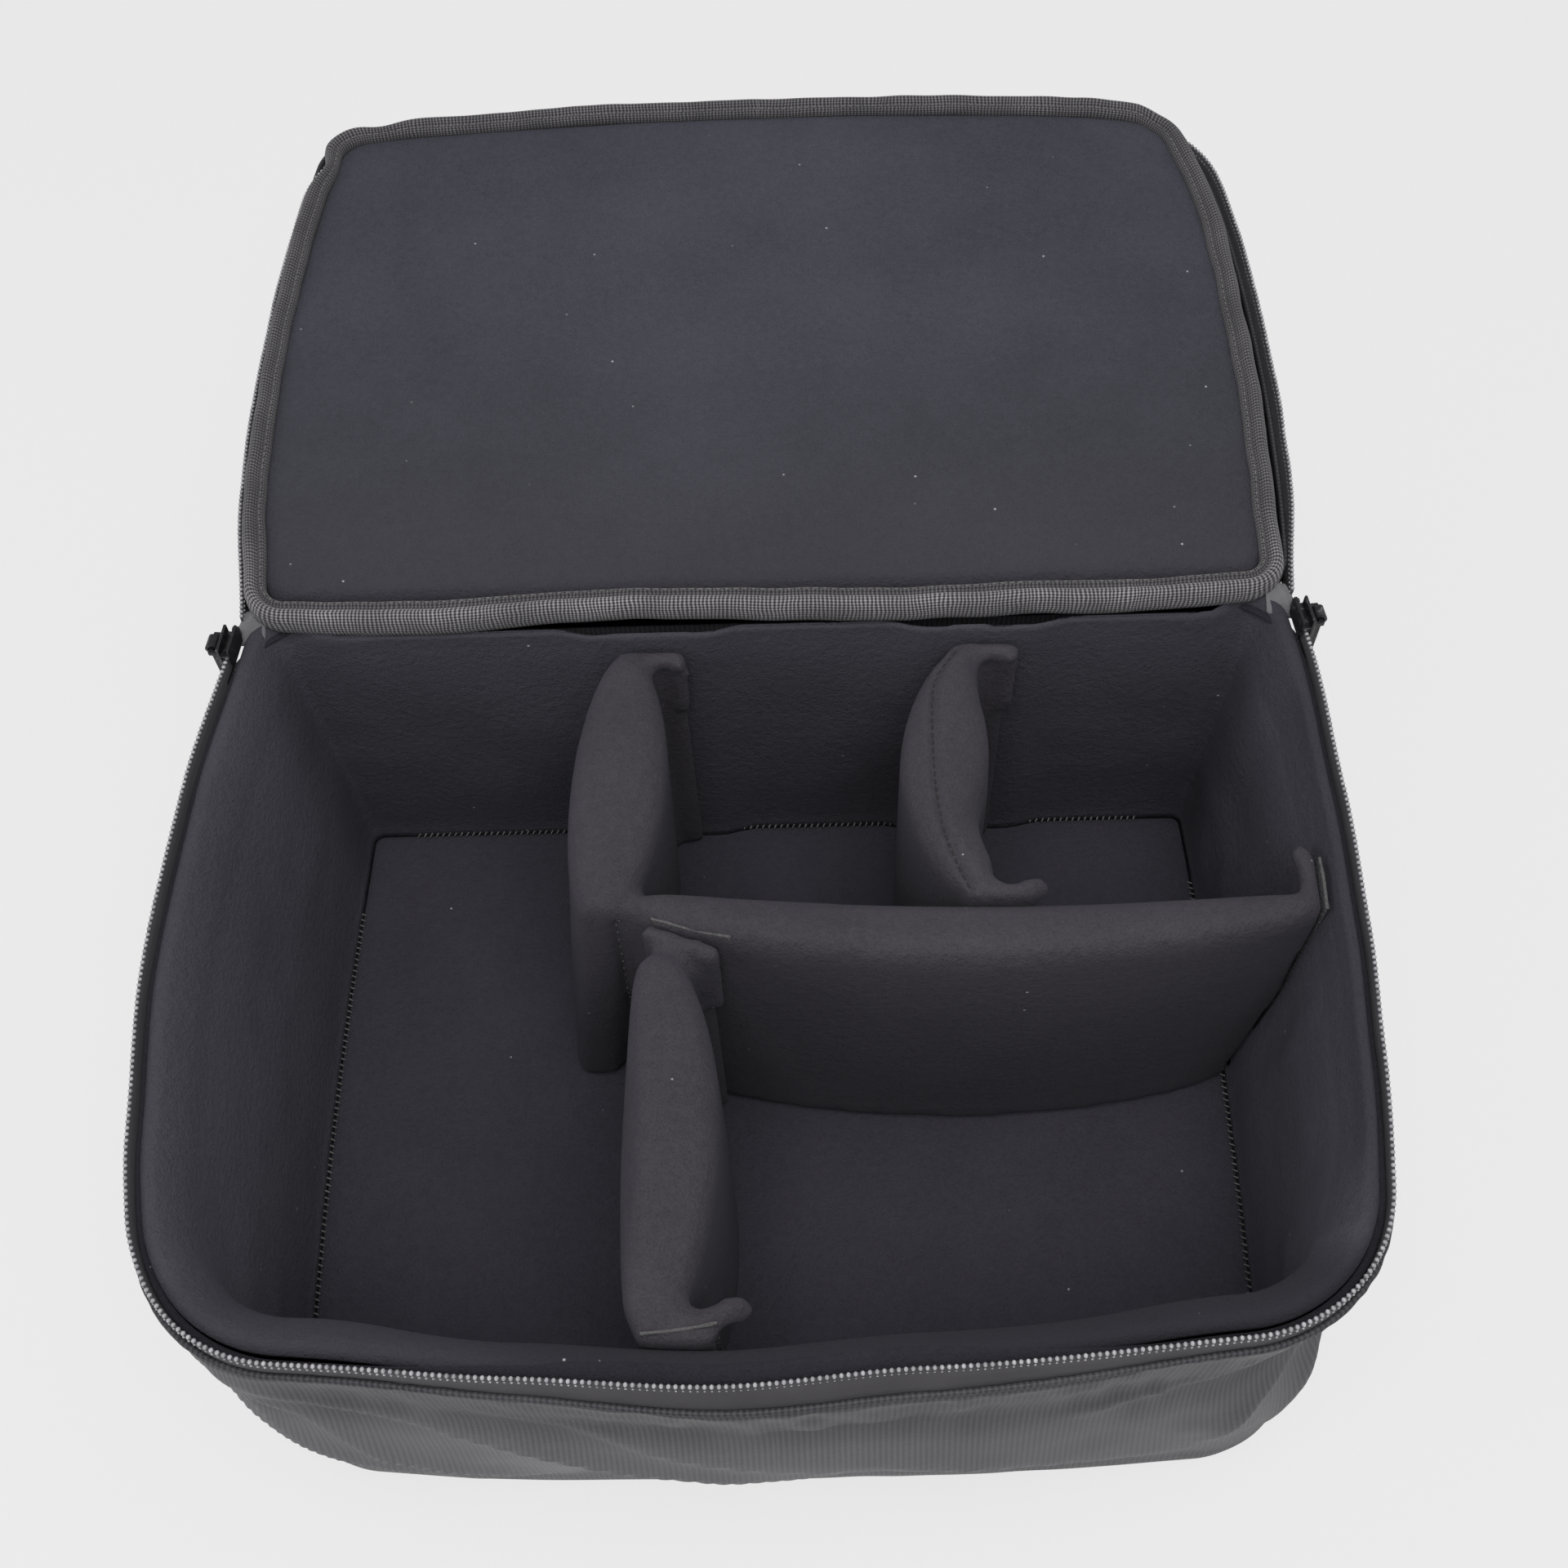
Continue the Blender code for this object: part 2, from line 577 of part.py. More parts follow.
# Zip sliders, each carried round the bow of its side, with a pull that hangs on its bridge
def make_slider(side, sign):
    bow_x = RIM_SIDE_RADIUS - RIM_HALF_WIDTH
    run_axis = axis_empty(f"{side}_slider_axis", (-sign * bow_x, SIDE_CENTRE_Y, RIM_HEIGHT))
    angle = math.asin((HINGE_Y - SLIDER_SETBACK - SIDE_CENTRE_Y) / RIM_SIDE_RADIUS)
    slot = CHAIN_RADIUS + GAP
    face = slot + SLIDER_PLATE
    tall = SLIDER_HEIGHT / 2
    web = SLIDER_WEB / 2
    half = SLIDER_LENGTH / 2
    section = [(face, -tall), (face, tall), (slot, tall), (slot, web), (-slot, web),
               (-slot, tall), (-face, tall), (-face, -tall), (-slot, -tall), (-slot, -web),
               (slot, -web), (slot, -tall)]
    rings = [[(x, y, z) for x, z in section] for y in (half, -half)]
    slider = slab(f"zip_slider_{side}", rings, SLIDER_METAL, run_axis)
    slider.location = (sign * RIM_SIDE_RADIUS * math.cos(angle),
                       RIM_SIDE_RADIUS * math.sin(angle), 0.0)
    slider.rotation_euler = (0.0, 0.0, angle if sign > 0 else math.pi - angle)

    bar = BRIDGE_THICKNESS
    reach = face + BRIDGE_REACH
    outer, inner = BRIDGE_LENGTH / 2, BRIDGE_LENGTH / 2 - bar
    root = face - SLIDER_PLATE / 2
    staple = [(root, -outer), (reach, -outer), (reach, outer), (root, outer),
              (root, inner), (reach - bar, inner), (reach - bar, -inner), (root, -inner)]
    rings = [at(staple, z) for z in (-bar / 2, bar / 2)]
    bridge = add_tool(f"bridge_{side}", loft("bridge", rings, foot=True, head=True), slider)
    combine(slider, bridge, "UNION")
    soften(slider, EDGE_SOFTNESS / 2)

    pull_axis = bpy.data.objects.new(f"{side}_pull_axis", None)
    parts.objects.link(pull_axis)
    pull_axis.parent = slider
    pull_axis.location = (reach - bar / 2, 0.0, 0.0)
    eye = PULL_EYE_RADIUS + PULL_EYE_WALL
    thick = PULL_THICKNESS / 2
    start = math.asin(thick / eye) - math.pi / 2
    sweep = 2 * math.pi - 2 * math.asin(thick / eye)
    outline = [(eye * math.cos(start + sweep * i / ROUND_STEPS),
                eye * math.sin(start + sweep * i / ROUND_STEPS)) for i in range(ROUND_STEPS + 1)]
    outline += [(-thick, -PULL_LENGTH), (thick, -PULL_LENGTH)]
    rings = [[(x, y, z) for x, z in outline] for y in (PULL_WIDTH / 2, -PULL_WIDTH / 2)]
    pull = slab(f"zip_pull_{side}", rings, SLIDER_METAL, pull_axis)
    hole = [(PULL_EYE_RADIUS * math.cos(2 * math.pi * i / ROUND_STEPS),
             PULL_EYE_RADIUS * math.sin(2 * math.pi * i / ROUND_STEPS))
            for i in range(ROUND_STEPS)]
    rings = [[(x, y, z) for x, z in hole] for y in (PULL_WIDTH, -PULL_WIDTH)]
    drill = add_tool(f"eye_{side}", loft("eye", rings, foot=True, head=True), pull_axis)
    combine(pull, drill, "DIFFERENCE")


class Pad:
    """A stuffed divider: a lens in plan on a slightly bowed line, with a rolled top.

    start_at and end_at give the middles of its ends at a height. The stretches next to the ends
    lean with the walls there, and the middle of the pad stands upright.
    """

    def __init__(self, start_at, end_at, bow, half):
        self.start_at = start_at
        self.end_at = end_at
        self.bow = bow
        self.half = half

    def stations(self, z, inset=0.0):
        """Middle, sideways direction and half thickness along the pad."""
        start, end = Vector(self.start_at(DIVIDER_TOP_Z)), Vector(self.end_at(DIVIDER_TOP_Z))
        start_lean, end_lean = Vector(self.start_at(z)) - start, Vector(self.end_at(z)) - end
        along = (end - start).normalized()
        across = Vector((-along.y, along.x))
        start += along * inset
        chord = end - along * inset - start
        made = []
        for i in range(PAD_STEPS + 1):
            share = i / PAD_STEPS
            middle = start + chord * share + across * (4 * self.bow * share * (1 - share))
            middle += start_lean * max(0.0, 1 - share / PAD_LEAN_SHARE)
            middle += end_lean * max(0.0, 1 - (1 - share) / PAD_LEAN_SHARE)
            swell = math.sin(math.pi * share) ** PAD_FULLNESS_SHARE if 0 < i < PAD_STEPS else 0.0
            half = DIVIDER_END_HALF + (self.half - DIVIDER_END_HALF) * swell - inset
            made.append((middle, across, half))
        return made, along

    def ring(self, z, inset=0.0, width_share=1.0):
        stations, along = self.stations(z, inset)
        draw = along * ((1 - width_share) * ROLL_END_DRAW)
        stations[0] = (stations[0][0] + draw, *stations[0][1:])
        stations[-1] = (stations[-1][0] - draw, *stations[-1][1:])
        near = [m - a * (h * width_share) for m, a, h in stations]
        far = [m + a * (h * width_share) for m, a, h in stations]
        return [(p.x, p.y, z) for p in near + far[::-1]]

    def facet(self, x, side):
        """The flat stretch of one face at x, as a point, its direction and its outward normal."""
        stations, _ = self.stations(DIVIDER_TOP_Z)
        face = [m + a * (h * side) for m, a, h in stations]
        for low, high in zip(face, face[1:]):
            if low.x <= x <= high.x:
                break
        along = (high - low).normalized()
        normal = Vector((-along.y, along.x)) * side
        return low + along * ((x - low.x) / along.x), along, normal


def make_pad(name, pad, parent):
    """The lining cover of a divider, open underneath, and the foam inside it."""
    body_top = DIVIDER_TOP_Z - DIVIDER_ROLL_HEIGHT
    rings = [pad.ring(DIVIDER_FOOT_Z)]
    for drop, width in zip(ROLL_DROP_SHARES, ROLL_WIDTH_SHARES):
        rings.append(pad.ring(DIVIDER_TOP_Z - DIVIDER_ROLL_HEIGHT * drop, 0.0, width))
    cover = add_piece(f"{name}_cover", loft(name, rings, head=True), DIVIDER_LINING, parent)
    solidify(cover, DIVIDER_CLOTH)
    inset = DIVIDER_CLOTH + 2 * GAP
    foam_top = DIVIDER_TOP_Z - DIVIDER_FOAM_DROP
    rings = [pad.ring(DIVIDER_FOOT_Z, inset), pad.ring(body_top, inset),
             pad.ring(foam_top, inset, ROLL_WIDTH_SHARES[-1])]
    slab(f"{name}_foam", rings, FOAM, parent)


def flap(name, line_at, near, far, foot, head, look, parent):
    """A flat piece that lies on the face line_at(z), between two distances off it."""
    rings = []
    for z in (foot, head):
        first, last, normal = line_at(z)
        corners = [first + normal * near, last + normal * near, last + normal * far,
                   first + normal * far]
        if normal.cross(last - first) > 0:
            corners.reverse()
        rings.append([(p.x, p.y, z) for p in corners])
    return slab(name, rings, look, parent)


def make_tab(name, line_at, parent):
    """A divider's end tab, turned along the face it holds to, and its hook tape."""
    hook_far = GAP + HOOK_THICKNESS
    tab_top = DIVIDER_TOP_Z - TAB_DROP

    def hook_line(z):
        first, last, normal = line_at(z)
        along = (last - first).normalized()
        margin = ((last - first).length - HOOK_WIDTH) / 2
        return first + along * margin, last - along * margin, normal

    flap(f"{name}_hook", hook_line, GAP, hook_far, DIVIDER_FOOT_Z + HOOK_FOOT,
         tab_top - HOOK_DROP, HOOK, parent)
    tab = flap(f"{name}_tab", line_at, hook_far + GAP, hook_far + GAP + TAB_THICKNESS,
               DIVIDER_FOOT_Z, tab_top, DIVIDER_LINING, parent)
    soften(tab, TAB_THICKNESS / 4)


def back_face(x):
    """The stretch of the back wall's lining that a tab at x lies on."""
    start = x - DIVIDER_END_HALF

    def line_at(z):
        y = wall_outline(z).back - INNER_INSET
        return Vector((start, y)), Vector((start + TAB_WIDTH, y)), Vector((0.0, -1.0))
    return line_at


def pad_face(pad, side, x):
    """The stretch of a divider's face that a neighbour's tab lies on."""
    start = x - DIVIDER_END_HALF
    point, along, normal = pad.facet(x + TAB_WIDTH / 2 - DIVIDER_END_HALF, side)
    first = point + along * ((start - point.x) / along.x)

    def line_at(z):
        return first, first + along * TAB_WIDTH, normal
    return line_at


def make_dividers():
    rear_end_y = CORNER_Y + CORNER_ROOM
    cross_start_x = REAR_SECTION_X + CORNER_ROOM

    def back_start(x):
        return lambda z: (x, wall_outline(z).back - INNER_INSET - TAB_STACK)

    # The long divider: a rear section, a sewn crease and a cross section
    long_axis = axis_empty("long_divider_axis", (REAR_SECTION_X, CORNER_Y, DIVIDER_FOOT_Z))
    rear = Pad(back_start(REAR_SECTION_X), lambda z: (REAR_SECTION_X, rear_end_y),
               REAR_SECTION_BOW, REAR_SECTION_HALF)

    def cross_end(z):
        return wall_outline(z).side_x(CROSS_END_Y, INNER_INSET) - TAB_STACK, CROSS_END_Y

    cross = Pad(lambda z: (cross_start_x, CORNER_Y), cross_end, CROSS_BOW, CROSS_HALF)
    make_pad("long_divider_rear", rear, long_axis)
    make_pad("long_divider_cross", cross, long_axis)
    path = [(REAR_SECTION_X, rear_end_y - GAP)]
    for i in range(BEND_STEPS + 1):
        angle = math.pi + math.pi / 2 * i / BEND_STEPS
        path.append((REAR_SECTION_X + CREASE_BEND * (1 + math.cos(angle)),
                     CORNER_Y + CREASE_BEND * (1 + math.sin(angle))))
    path.append((cross_start_x - GAP, CORNER_Y))
    rings = [at(path, z) for z in (DIVIDER_FOOT_Z, DIVIDER_TOP_Z - CREASE_DROP)]
    crease = add_piece("long_divider_crease", loft("crease", rings, closed=False),
                       DIVIDER_LINING, long_axis)
    solidify(crease, CREASE_THICKNESS, 0.0)
    make_tab("long_divider_back", back_face(REAR_SECTION_X), long_axis)

    def right_face(z):
        outline = wall_outline(z)
        low, high = CROSS_END_Y - DIVIDER_END_HALF, CROSS_END_Y - DIVIDER_END_HALF + TAB_WIDTH
        first = Vector((outline.side_x(low, INNER_INSET), low))
        last = Vector((outline.side_x(high, INNER_INSET), high))
        along = (last - first).normalized()
        return first, last, Vector((-along.y, along.x))

    make_tab("long_divider_side", right_face, long_axis)

    # The rear divider, from the back wall to the cross section
    rear_axis = axis_empty("rear_divider_axis", (REAR_DIVIDER_X, CORNER_Y, DIVIDER_FOOT_Z))
    on_cross = pad_face(cross, 1, REAR_DIVIDER_X)
    end = tab_front_y(on_cross, REAR_DIVIDER_X, 1)
    pad = Pad(back_start(REAR_DIVIDER_X), lambda z: (REAR_DIVIDER_X, end),
              REAR_DIVIDER_BOW, REAR_DIVIDER_HALF)
    make_pad("rear_divider", pad, rear_axis)
    make_tab("rear_divider_back", back_face(REAR_DIVIDER_X), rear_axis)
    make_tab("rear_divider_front", on_cross, rear_axis)

    # The front divider, from the cross section to the front wall
    front_axis = axis_empty("front_divider_axis", (FRONT_DIVIDER_X, 0.0, DIVIDER_FOOT_Z))
    on_cross = pad_face(cross, -1, FRONT_DIVIDER_X)
    start = tab_front_y(on_cross, FRONT_DIVIDER_X, -1)

    def front_end(z):
        return FRONT_DIVIDER_X, wall_outline(z).front_y(FRONT_DIVIDER_X, INNER_INSET) + TAB_STACK

    def front_face(z):
        outline = wall_outline(z)
        low = FRONT_DIVIDER_X - DIVIDER_END_HALF
        high = low + TAB_WIDTH
        first = Vector((low, outline.front_y(low, INNER_INSET)))
        last = Vector((high, outline.front_y(high, INNER_INSET)))
        along = (last - first).normalized()
        return first, last, Vector((-along.y, along.x))

    pad = Pad(lambda z: (FRONT_DIVIDER_X, start), front_end, FRONT_DIVIDER_BOW,
              FRONT_DIVIDER_HALF)
    make_pad("front_divider", pad, front_axis)
    make_tab("front_divider_back", on_cross, front_axis)
    make_tab("front_divider_front", front_face, front_axis)
    for axis in (long_axis, rear_axis, front_axis):
        keep_places(axis)


def keep_places(axis):
    """Leave the pieces that hang on an axis where they were modelled."""
    for piece in parts.objects:
        if piece.parent == axis:
            piece.matrix_parent_inverse = Matrix.Translation(-axis.location)


def tab_front_y(line_at, x, side):
    """Where a pad's end comes to lie against a tab on another divider's face."""
    first, last, normal = line_at(DIVIDER_TOP_Z)
    slope = (last.y - first.y) / (last.x - first.x)
    reach = (TAB_STACK - GAP) / abs(normal.y)
    ends = [first.y + slope * (x + step * DIVIDER_END_HALF - first.x) for step in (-1, 1)]
    return (max(ends) if side > 0 else min(ends)) + side * (reach + GAP)


make_base()
make_walls()
make_rim()
make_lid()
make_slider("left", -1)
make_slider("right", 1)
make_dividers()
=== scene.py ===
import math

import bmesh
import bpy
import numpy as np
from mathutils import Matrix, Vector, noise
from mathutils.bvhtree import BVHTree


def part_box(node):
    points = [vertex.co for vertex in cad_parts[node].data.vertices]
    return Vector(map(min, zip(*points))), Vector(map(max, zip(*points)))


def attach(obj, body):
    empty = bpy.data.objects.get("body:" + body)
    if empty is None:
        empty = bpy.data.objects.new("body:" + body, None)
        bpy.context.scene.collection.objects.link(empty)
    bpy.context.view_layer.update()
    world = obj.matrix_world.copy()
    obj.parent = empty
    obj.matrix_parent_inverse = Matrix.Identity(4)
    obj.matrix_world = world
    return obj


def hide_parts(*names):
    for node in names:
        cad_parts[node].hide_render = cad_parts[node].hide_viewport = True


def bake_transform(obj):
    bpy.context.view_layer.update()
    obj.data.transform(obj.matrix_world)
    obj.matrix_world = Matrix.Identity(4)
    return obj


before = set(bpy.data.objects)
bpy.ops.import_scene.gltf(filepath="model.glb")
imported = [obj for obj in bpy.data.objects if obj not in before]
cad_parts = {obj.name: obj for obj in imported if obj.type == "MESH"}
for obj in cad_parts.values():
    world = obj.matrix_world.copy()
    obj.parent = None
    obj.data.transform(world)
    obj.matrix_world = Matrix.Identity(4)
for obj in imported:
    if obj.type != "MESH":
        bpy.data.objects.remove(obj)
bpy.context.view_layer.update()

# The box, as the frame has it
RIM_HEIGHT = 0.150
# Half width, front, back, front corner, back corner, and how bowed the sides and the front are
BASE_PLAN = (0.1755, 0.1275, 0.1275, 0.036, 0.030, 1 / 2.5, 1 / 6.0)
RIM_PLAN = (0.1850, 0.1325, 0.1275, 0.048, 0.030, 1 / 0.9, 1 / 1.8)
SIDE_CENTRE_Y = 0.015
HINGE_Y = 0.121
ZIP_END_Y = 0.118
LID_TILT = math.radians(2.0)
CLOTH = 0.001
THIN_CLOTH = 0.0006
TAPE_THICKNESS = 0.0008
WALL_DEPTH = 0.0120
INNER_CORNER = 0.0175
FLOOR_Z = 0.0129
UP = (0.0, 0.0, 1.0)

# Where the soft box has sunk away from the frame's even shape: a place and the shift there
LEFT_SHIFTS = ((-0.105, 0.0015), (-0.060, -0.0018), (-0.008, -0.0040), (0.056, -0.0028),
               (0.115, 0.0))
RIGHT_SHIFTS = ((-0.100, -0.0068), (-0.043, -0.0052), (-0.004, -0.0038), (0.045, -0.0024),
                (0.100, 0.0))
FRONT_SHIFTS = ((-0.120, 0.0008), (-0.070, -0.0006), (-0.016, -0.0026), (0.041, 0.0008),
                (0.131, 0.0027))
CORNER_FALLS = ((-1, 0.0055, 0.0050, 0.055), (1, 0.0040, 0.0095, 0.082))
SHIFT_INNER_X = 0.07
SHIFT_OUTER_X = 0.15
SHIFT_INNER_Y = 0.060
SHIFT_OUTER_Y = 0.125
FRONT_FLARE = 0.0052
FLARE_CENTRE_X = 0.012
FLARE_REACH = 0.150

# Zip
CHAIN_Z = 0.1484
TOOTH_PITCH = 0.0019
TOOTH_SIZE = (0.00060, 0.00072, 0.00078)
TOOTH_LEG = (0.00042, 0.00040, 0.00062)
TOOTH_DROP = 0.0019
TOOTH_SPREAD = 0.00050
TOOTH_TURN = 0.35
TAPE_TOP_Z = 0.1484
TAPE_FOOT_Z = 0.1370
HEM_Z = 0.1402
HEM_RADIUS = 0.0010

# Camera, fitted to the photograph's own sizes
EYE = Vector((0.0152, -0.2569, 0.6354))
EYE_PITCH = math.radians(57.6022)
EYE_YAW = math.radians(-1.6933)
EYE_ROLL = math.radians(-2.8794)
EYE_LENS = 41.69


def ramp(value, low, high):
    """0 below low, 1 above high, and a smooth rise between."""
    share = np.clip((np.asarray(value, float) - low) / (high - low), 0.0, 1.0)
    return share * share * (3 - 2 * share)


def bump(value, centre, reach):
    """1 at the centre, falling smoothly to 0 at reach on either side."""
    return ramp(1 - np.abs(np.asarray(value, float) - centre) / reach, 0.0, 1.0)


def waves(points, size, seed):
    """Smooth noise of about -1 to 1, with features of the given size."""
    shift = Vector((seed * 7.31, seed * 3.17, seed * 5.93))
    return np.array([noise.noise(Vector(p) / size + shift) for p in points])


class Plan:
    """The box's plan at one level: bowed sides and front, a straight back and round corners."""

    def __init__(self, sizes):
        (self.half, self.front, self.back, self.front_corner, self.back_corner,
         side, front) = sizes
        self.side_bow, self.front_bow = 1 / side, 1 / front

    def side_x(self, y, inset=0.0):
        radius = self.side_bow - inset
        return self.half - self.side_bow + math.sqrt(radius ** 2 - (y - SIDE_CENTRE_Y) ** 2)

    def front_y(self, x, inset=0.0):
        return self.front_bow - self.front - math.sqrt((self.front_bow - inset) ** 2 - x ** 2)

    def right_run(self, inset, end_y, fine):
        """Points from the middle of the front, round the corner and along the side to end_y."""
        y0 = self.front_corner - self.front
        for _ in range(20):
            x0 = self.side_x(y0, self.front_corner)
            y0 = self.front_y(x0, self.front_corner)
        start = math.atan2(y0 + self.front - self.front_bow, x0)
        stop = math.atan2(y0 - SIDE_CENTRE_Y, x0 - self.half + self.side_bow)
        radius = self.front_corner - inset
        end_x = x0 + radius * math.cos(start)
        side_y = y0 + radius * math.sin(stop)
        front, corner, side = 26 * fine, 16 * fine, 40 * fine
        points = []
        for i in range(front):
            x = end_x * i / front
            points.append((x, self.front_y(x, inset)))
        for i in range(corner):
            angle = start + (stop - start) * i / corner
            points.append((x0 + radius * math.cos(angle), y0 + radius * math.sin(angle)))
        for i in range(side + 1):
            y = side_y + (end_y - side_y) * i / side
            points.append((self.side_x(y, inset), y))
        return points

    def run(self, inset, end_y, fine=1):
        """The three zipped sides, from the left end of the hinge line round to its right end."""
        right = self.right_run(inset, end_y, fine)
        return np.array([(-x, y) for x, y in reversed(right[1:])] + right)

    def ring(self, inset, fine=1):
        """The whole closed outline, anticlockwise from the middle of the front."""
        y0 = self.back - self.back_corner
        x0 = self.side_x(y0, self.back_corner)
        start = math.atan2(y0 - SIDE_CENTRE_Y, x0 - self.half + self.side_bow)
        radius = self.back_corner - inset
        right = self.right_run(inset, y0 + radius * math.sin(start), fine)
        corner, back = 10 * fine, 24 * fine
        for i in range(1, corner + 1):
            angle = start + (math.pi / 2 - start) * i / corner
            right.append((x0 + radius * math.cos(angle), y0 + radius * math.sin(angle)))
        for i in range(1, back + 1):
            right.append((x0 * (1 - i / back), self.back - inset))
        return np.array(right + [(-x, y) for x, y in reversed(right[1:-1])])


def wall_plan(z, back_corner=None):
    sizes = [a + (b - a) * z / RIM_HEIGHT for a, b in zip(BASE_PLAN, RIM_PLAN)]
    if back_corner:
        sizes[4] = back_corner
    return Plan(sizes)


def level(points, z):
    points = np.asarray(points, float)
    return np.column_stack([points, np.full(len(points), z)])


def outward(row, closed=True):
    """The sideways direction of each point of a row, to the right of the way it runs."""
    if closed:
        step = np.roll(row, -1, axis=0) - np.roll(row, 1, axis=0)
    else:
        step = np.gradient(row, axis=0)
    step = step[:, :2] / np.linalg.norm(step[:, :2], axis=1, keepdims=True)
    return np.column_stack([step[:, 1], -step[:, 0], np.zeros(len(row))])


def lengths(row, closed=False):
    """Distance along a row of points, and all of it where the row is closed."""
    row = np.vstack([row, row[:1]]) if closed else row
    return np.concatenate([[0.0], np.cumsum(np.linalg.norm(np.diff(row, axis=0), axis=1))])


def shrunk(row, share):
    """A closed row drawn in towards its own middle."""
    middle = (row.max(0) + row.min(0)) / 2 * (1, 1, 0)
    return middle + (row - middle) * (share, share, 1)


def eased(value, stations):
    """A smooth run between stations, each a place and the value there."""
    places, values = np.array(stations).T
    value = np.clip(value, places[0], places[-1])
    slot = np.clip(np.searchsorted(places, value) - 1, 0, len(places) - 2)
    share = ramp(value, places[slot], places[slot + 1])
    return values[slot] + (values[slot + 1] - values[slot]) * share


def lean(points):
    """The soft rim has sunk a little out of its even shape, away from the hinge line."""
    x, y, z = points.T
    height = ramp(z / RIM_HEIGHT, 0.0, 1.0)
    left = eased(y, LEFT_SHIFTS) * ramp(-x, SHIFT_INNER_X, SHIFT_OUTER_X)
    right = eased(y, RIGHT_SHIFTS) * ramp(x, SHIFT_INNER_X, SHIFT_OUTER_X)
    front = eased(x, FRONT_SHIFTS) * ramp(-y, SHIFT_INNER_Y, SHIFT_OUTER_Y)
    moved = points.copy()
    moved[:, 0] += (left + right) * height
    moved[:, 1] += front * height
    return moved


def fallen(points):
    """The front corners of the cover, where the cloth falls in under the zip."""
    x, y, z = points.T
    moved = points.copy()
    for side, at_base, dent, dent_z in CORNER_FALLS:
        away = np.hypot(x * side - 0.160, y + 0.112)
        depth = at_base * (1 - ramp(z, 0.0, 0.120)) + dent * bump(z, dent_z, 0.060)
        depth = depth * np.exp(-(away / 0.048) ** 2)
        moved[:, 0] -= side * 0.80 * depth
        moved[:, 1] += 0.60 * depth
    return moved


def flare(points):
    """How far the middle of the front bulges out under the zip."""
    x, y, z = points.T
    middle = bump(x, FLARE_CENTRE_X, FLARE_REACH) * ramp(-y, 0.09, 0.12)
    down = 1 - ramp(z, TAPE_FOOT_Z, CHAIN_Z)
    return FRONT_FLARE * middle * down * (0.10 + 0.90 * ramp(z, 0.03, 0.125))


def lid_place(points):
    """From the open lid's own frame, Y away from the hinge and Z up, to the row frame."""
    x, y, z = lid_warp(points).T
    cos, sin = math.cos(LID_TILT), math.sin(LID_TILT)
    return np.column_stack([x, HINGE_Y + y * cos - z * sin, RIM_HEIGHT + y * sin + z * cos])


def lid_row(plan_points, z):
    """A row of the rim's plan, turned over on to the open lid."""
    return level(plan_points * (1, -1) + (0, HINGE_Y), z)


def lid_outward(row, closed=True):
    return outward(row * (1, -1, 1), closed) * (1, -1, 1)


# Meshes
def new_object(name, vertices, faces, look):
    mesh = bpy.data.meshes.new(name)
    mesh.from_pydata(np.asarray(vertices).tolist(), [], [list(f) for f in faces])
    mesh.validate()
    mesh.polygons.foreach_set("use_smooth", [True] * len(mesh.polygons))
    piece = bpy.data.objects.new(name, mesh)
    bpy.context.scene.collection.objects.link(piece)
    mesh.materials.append(look)
    return piece


def skin(name, rows, look, closed=False, capped="", flip=False):
    """A cloth surface through rows of points, with its length and width in metres as its UV map.

    capped closes its first end, its last end, or both.
    """
    rows = np.asarray(rows, float)
    points = rows.reshape(-1, 3)
    count, width = rows.shape[:2]
    columns = width if closed else width - 1
    i, j = [grid.ravel() for grid in
            np.meshgrid(np.arange(count - 1), np.arange(columns), indexing="ij")]
    k = (j + 1) % width
    faces = np.stack([i * width + j, i * width + k, (i + 1) * width + k, (i + 1) * width + j], 1)
    along = lengths(rows[count // 2], closed)
    across = lengths(rows[:, width // 2])
    corners = ((j, i), (j + 1, i), (j + 1, i + 1), (j, i + 1))
    uv = np.stack([np.stack([along[a], across[b]], 1) for a, b in corners], 1)
    if flip:
        faces, uv = faces[:, ::-1], uv[:, ::-1]
    faces, uv = faces.tolist(), uv.reshape(-1, 2).tolist()
    for end, start in (("first", 0), ("last", (count - 1) * width)):
        if capped in (end, "both"):
            cap = list(range(start, start + width))
            cap = cap if (start > 0) != flip else cap[::-1]
            faces.append(cap)
            uv += points[cap, :2].tolist()
    piece = new_object(name, points, faces, look)
    layer = piece.data.uv_layers.new(name="cloth")
    layer.uv.foreach_set("vector", np.array(uv, np.float32).ravel())
    return piece


def thicken(piece, thickness, offset=-1.0):
    shell = piece.modifiers.new("thickness", "SOLIDIFY")
    shell.thickness = thickness
    shell.offset = offset
    return piece


def refine(piece):
    finer = piece.modifiers.new("finer", "SUBSURF")
    finer.levels = finer.render_levels = 1
    return piece


def paint(piece, name, values):
    """Keeps a value from 0 to 1 at each point of a piece, for its material to read."""
    layer = piece.data.attributes.new(name, "FLOAT", "POINT")
    layer.data.foreach_set("value", np.ravel(values))


def repeated(name, shape, frames, look):
    """One object of many copies of a small closed shape, each at its own 4x4 frame."""
    vertices, faces = shape
    points = np.column_stack([vertices, np.ones(len(vertices))])
    made = np.concatenate([(points @ np.asarray(f).T)[:, :3] for f in frames])
    count = len(vertices)
    every = [[v + n * count for v in face] for n in range(len(frames)) for face in faces]
    return new_object(name, made, every, look)


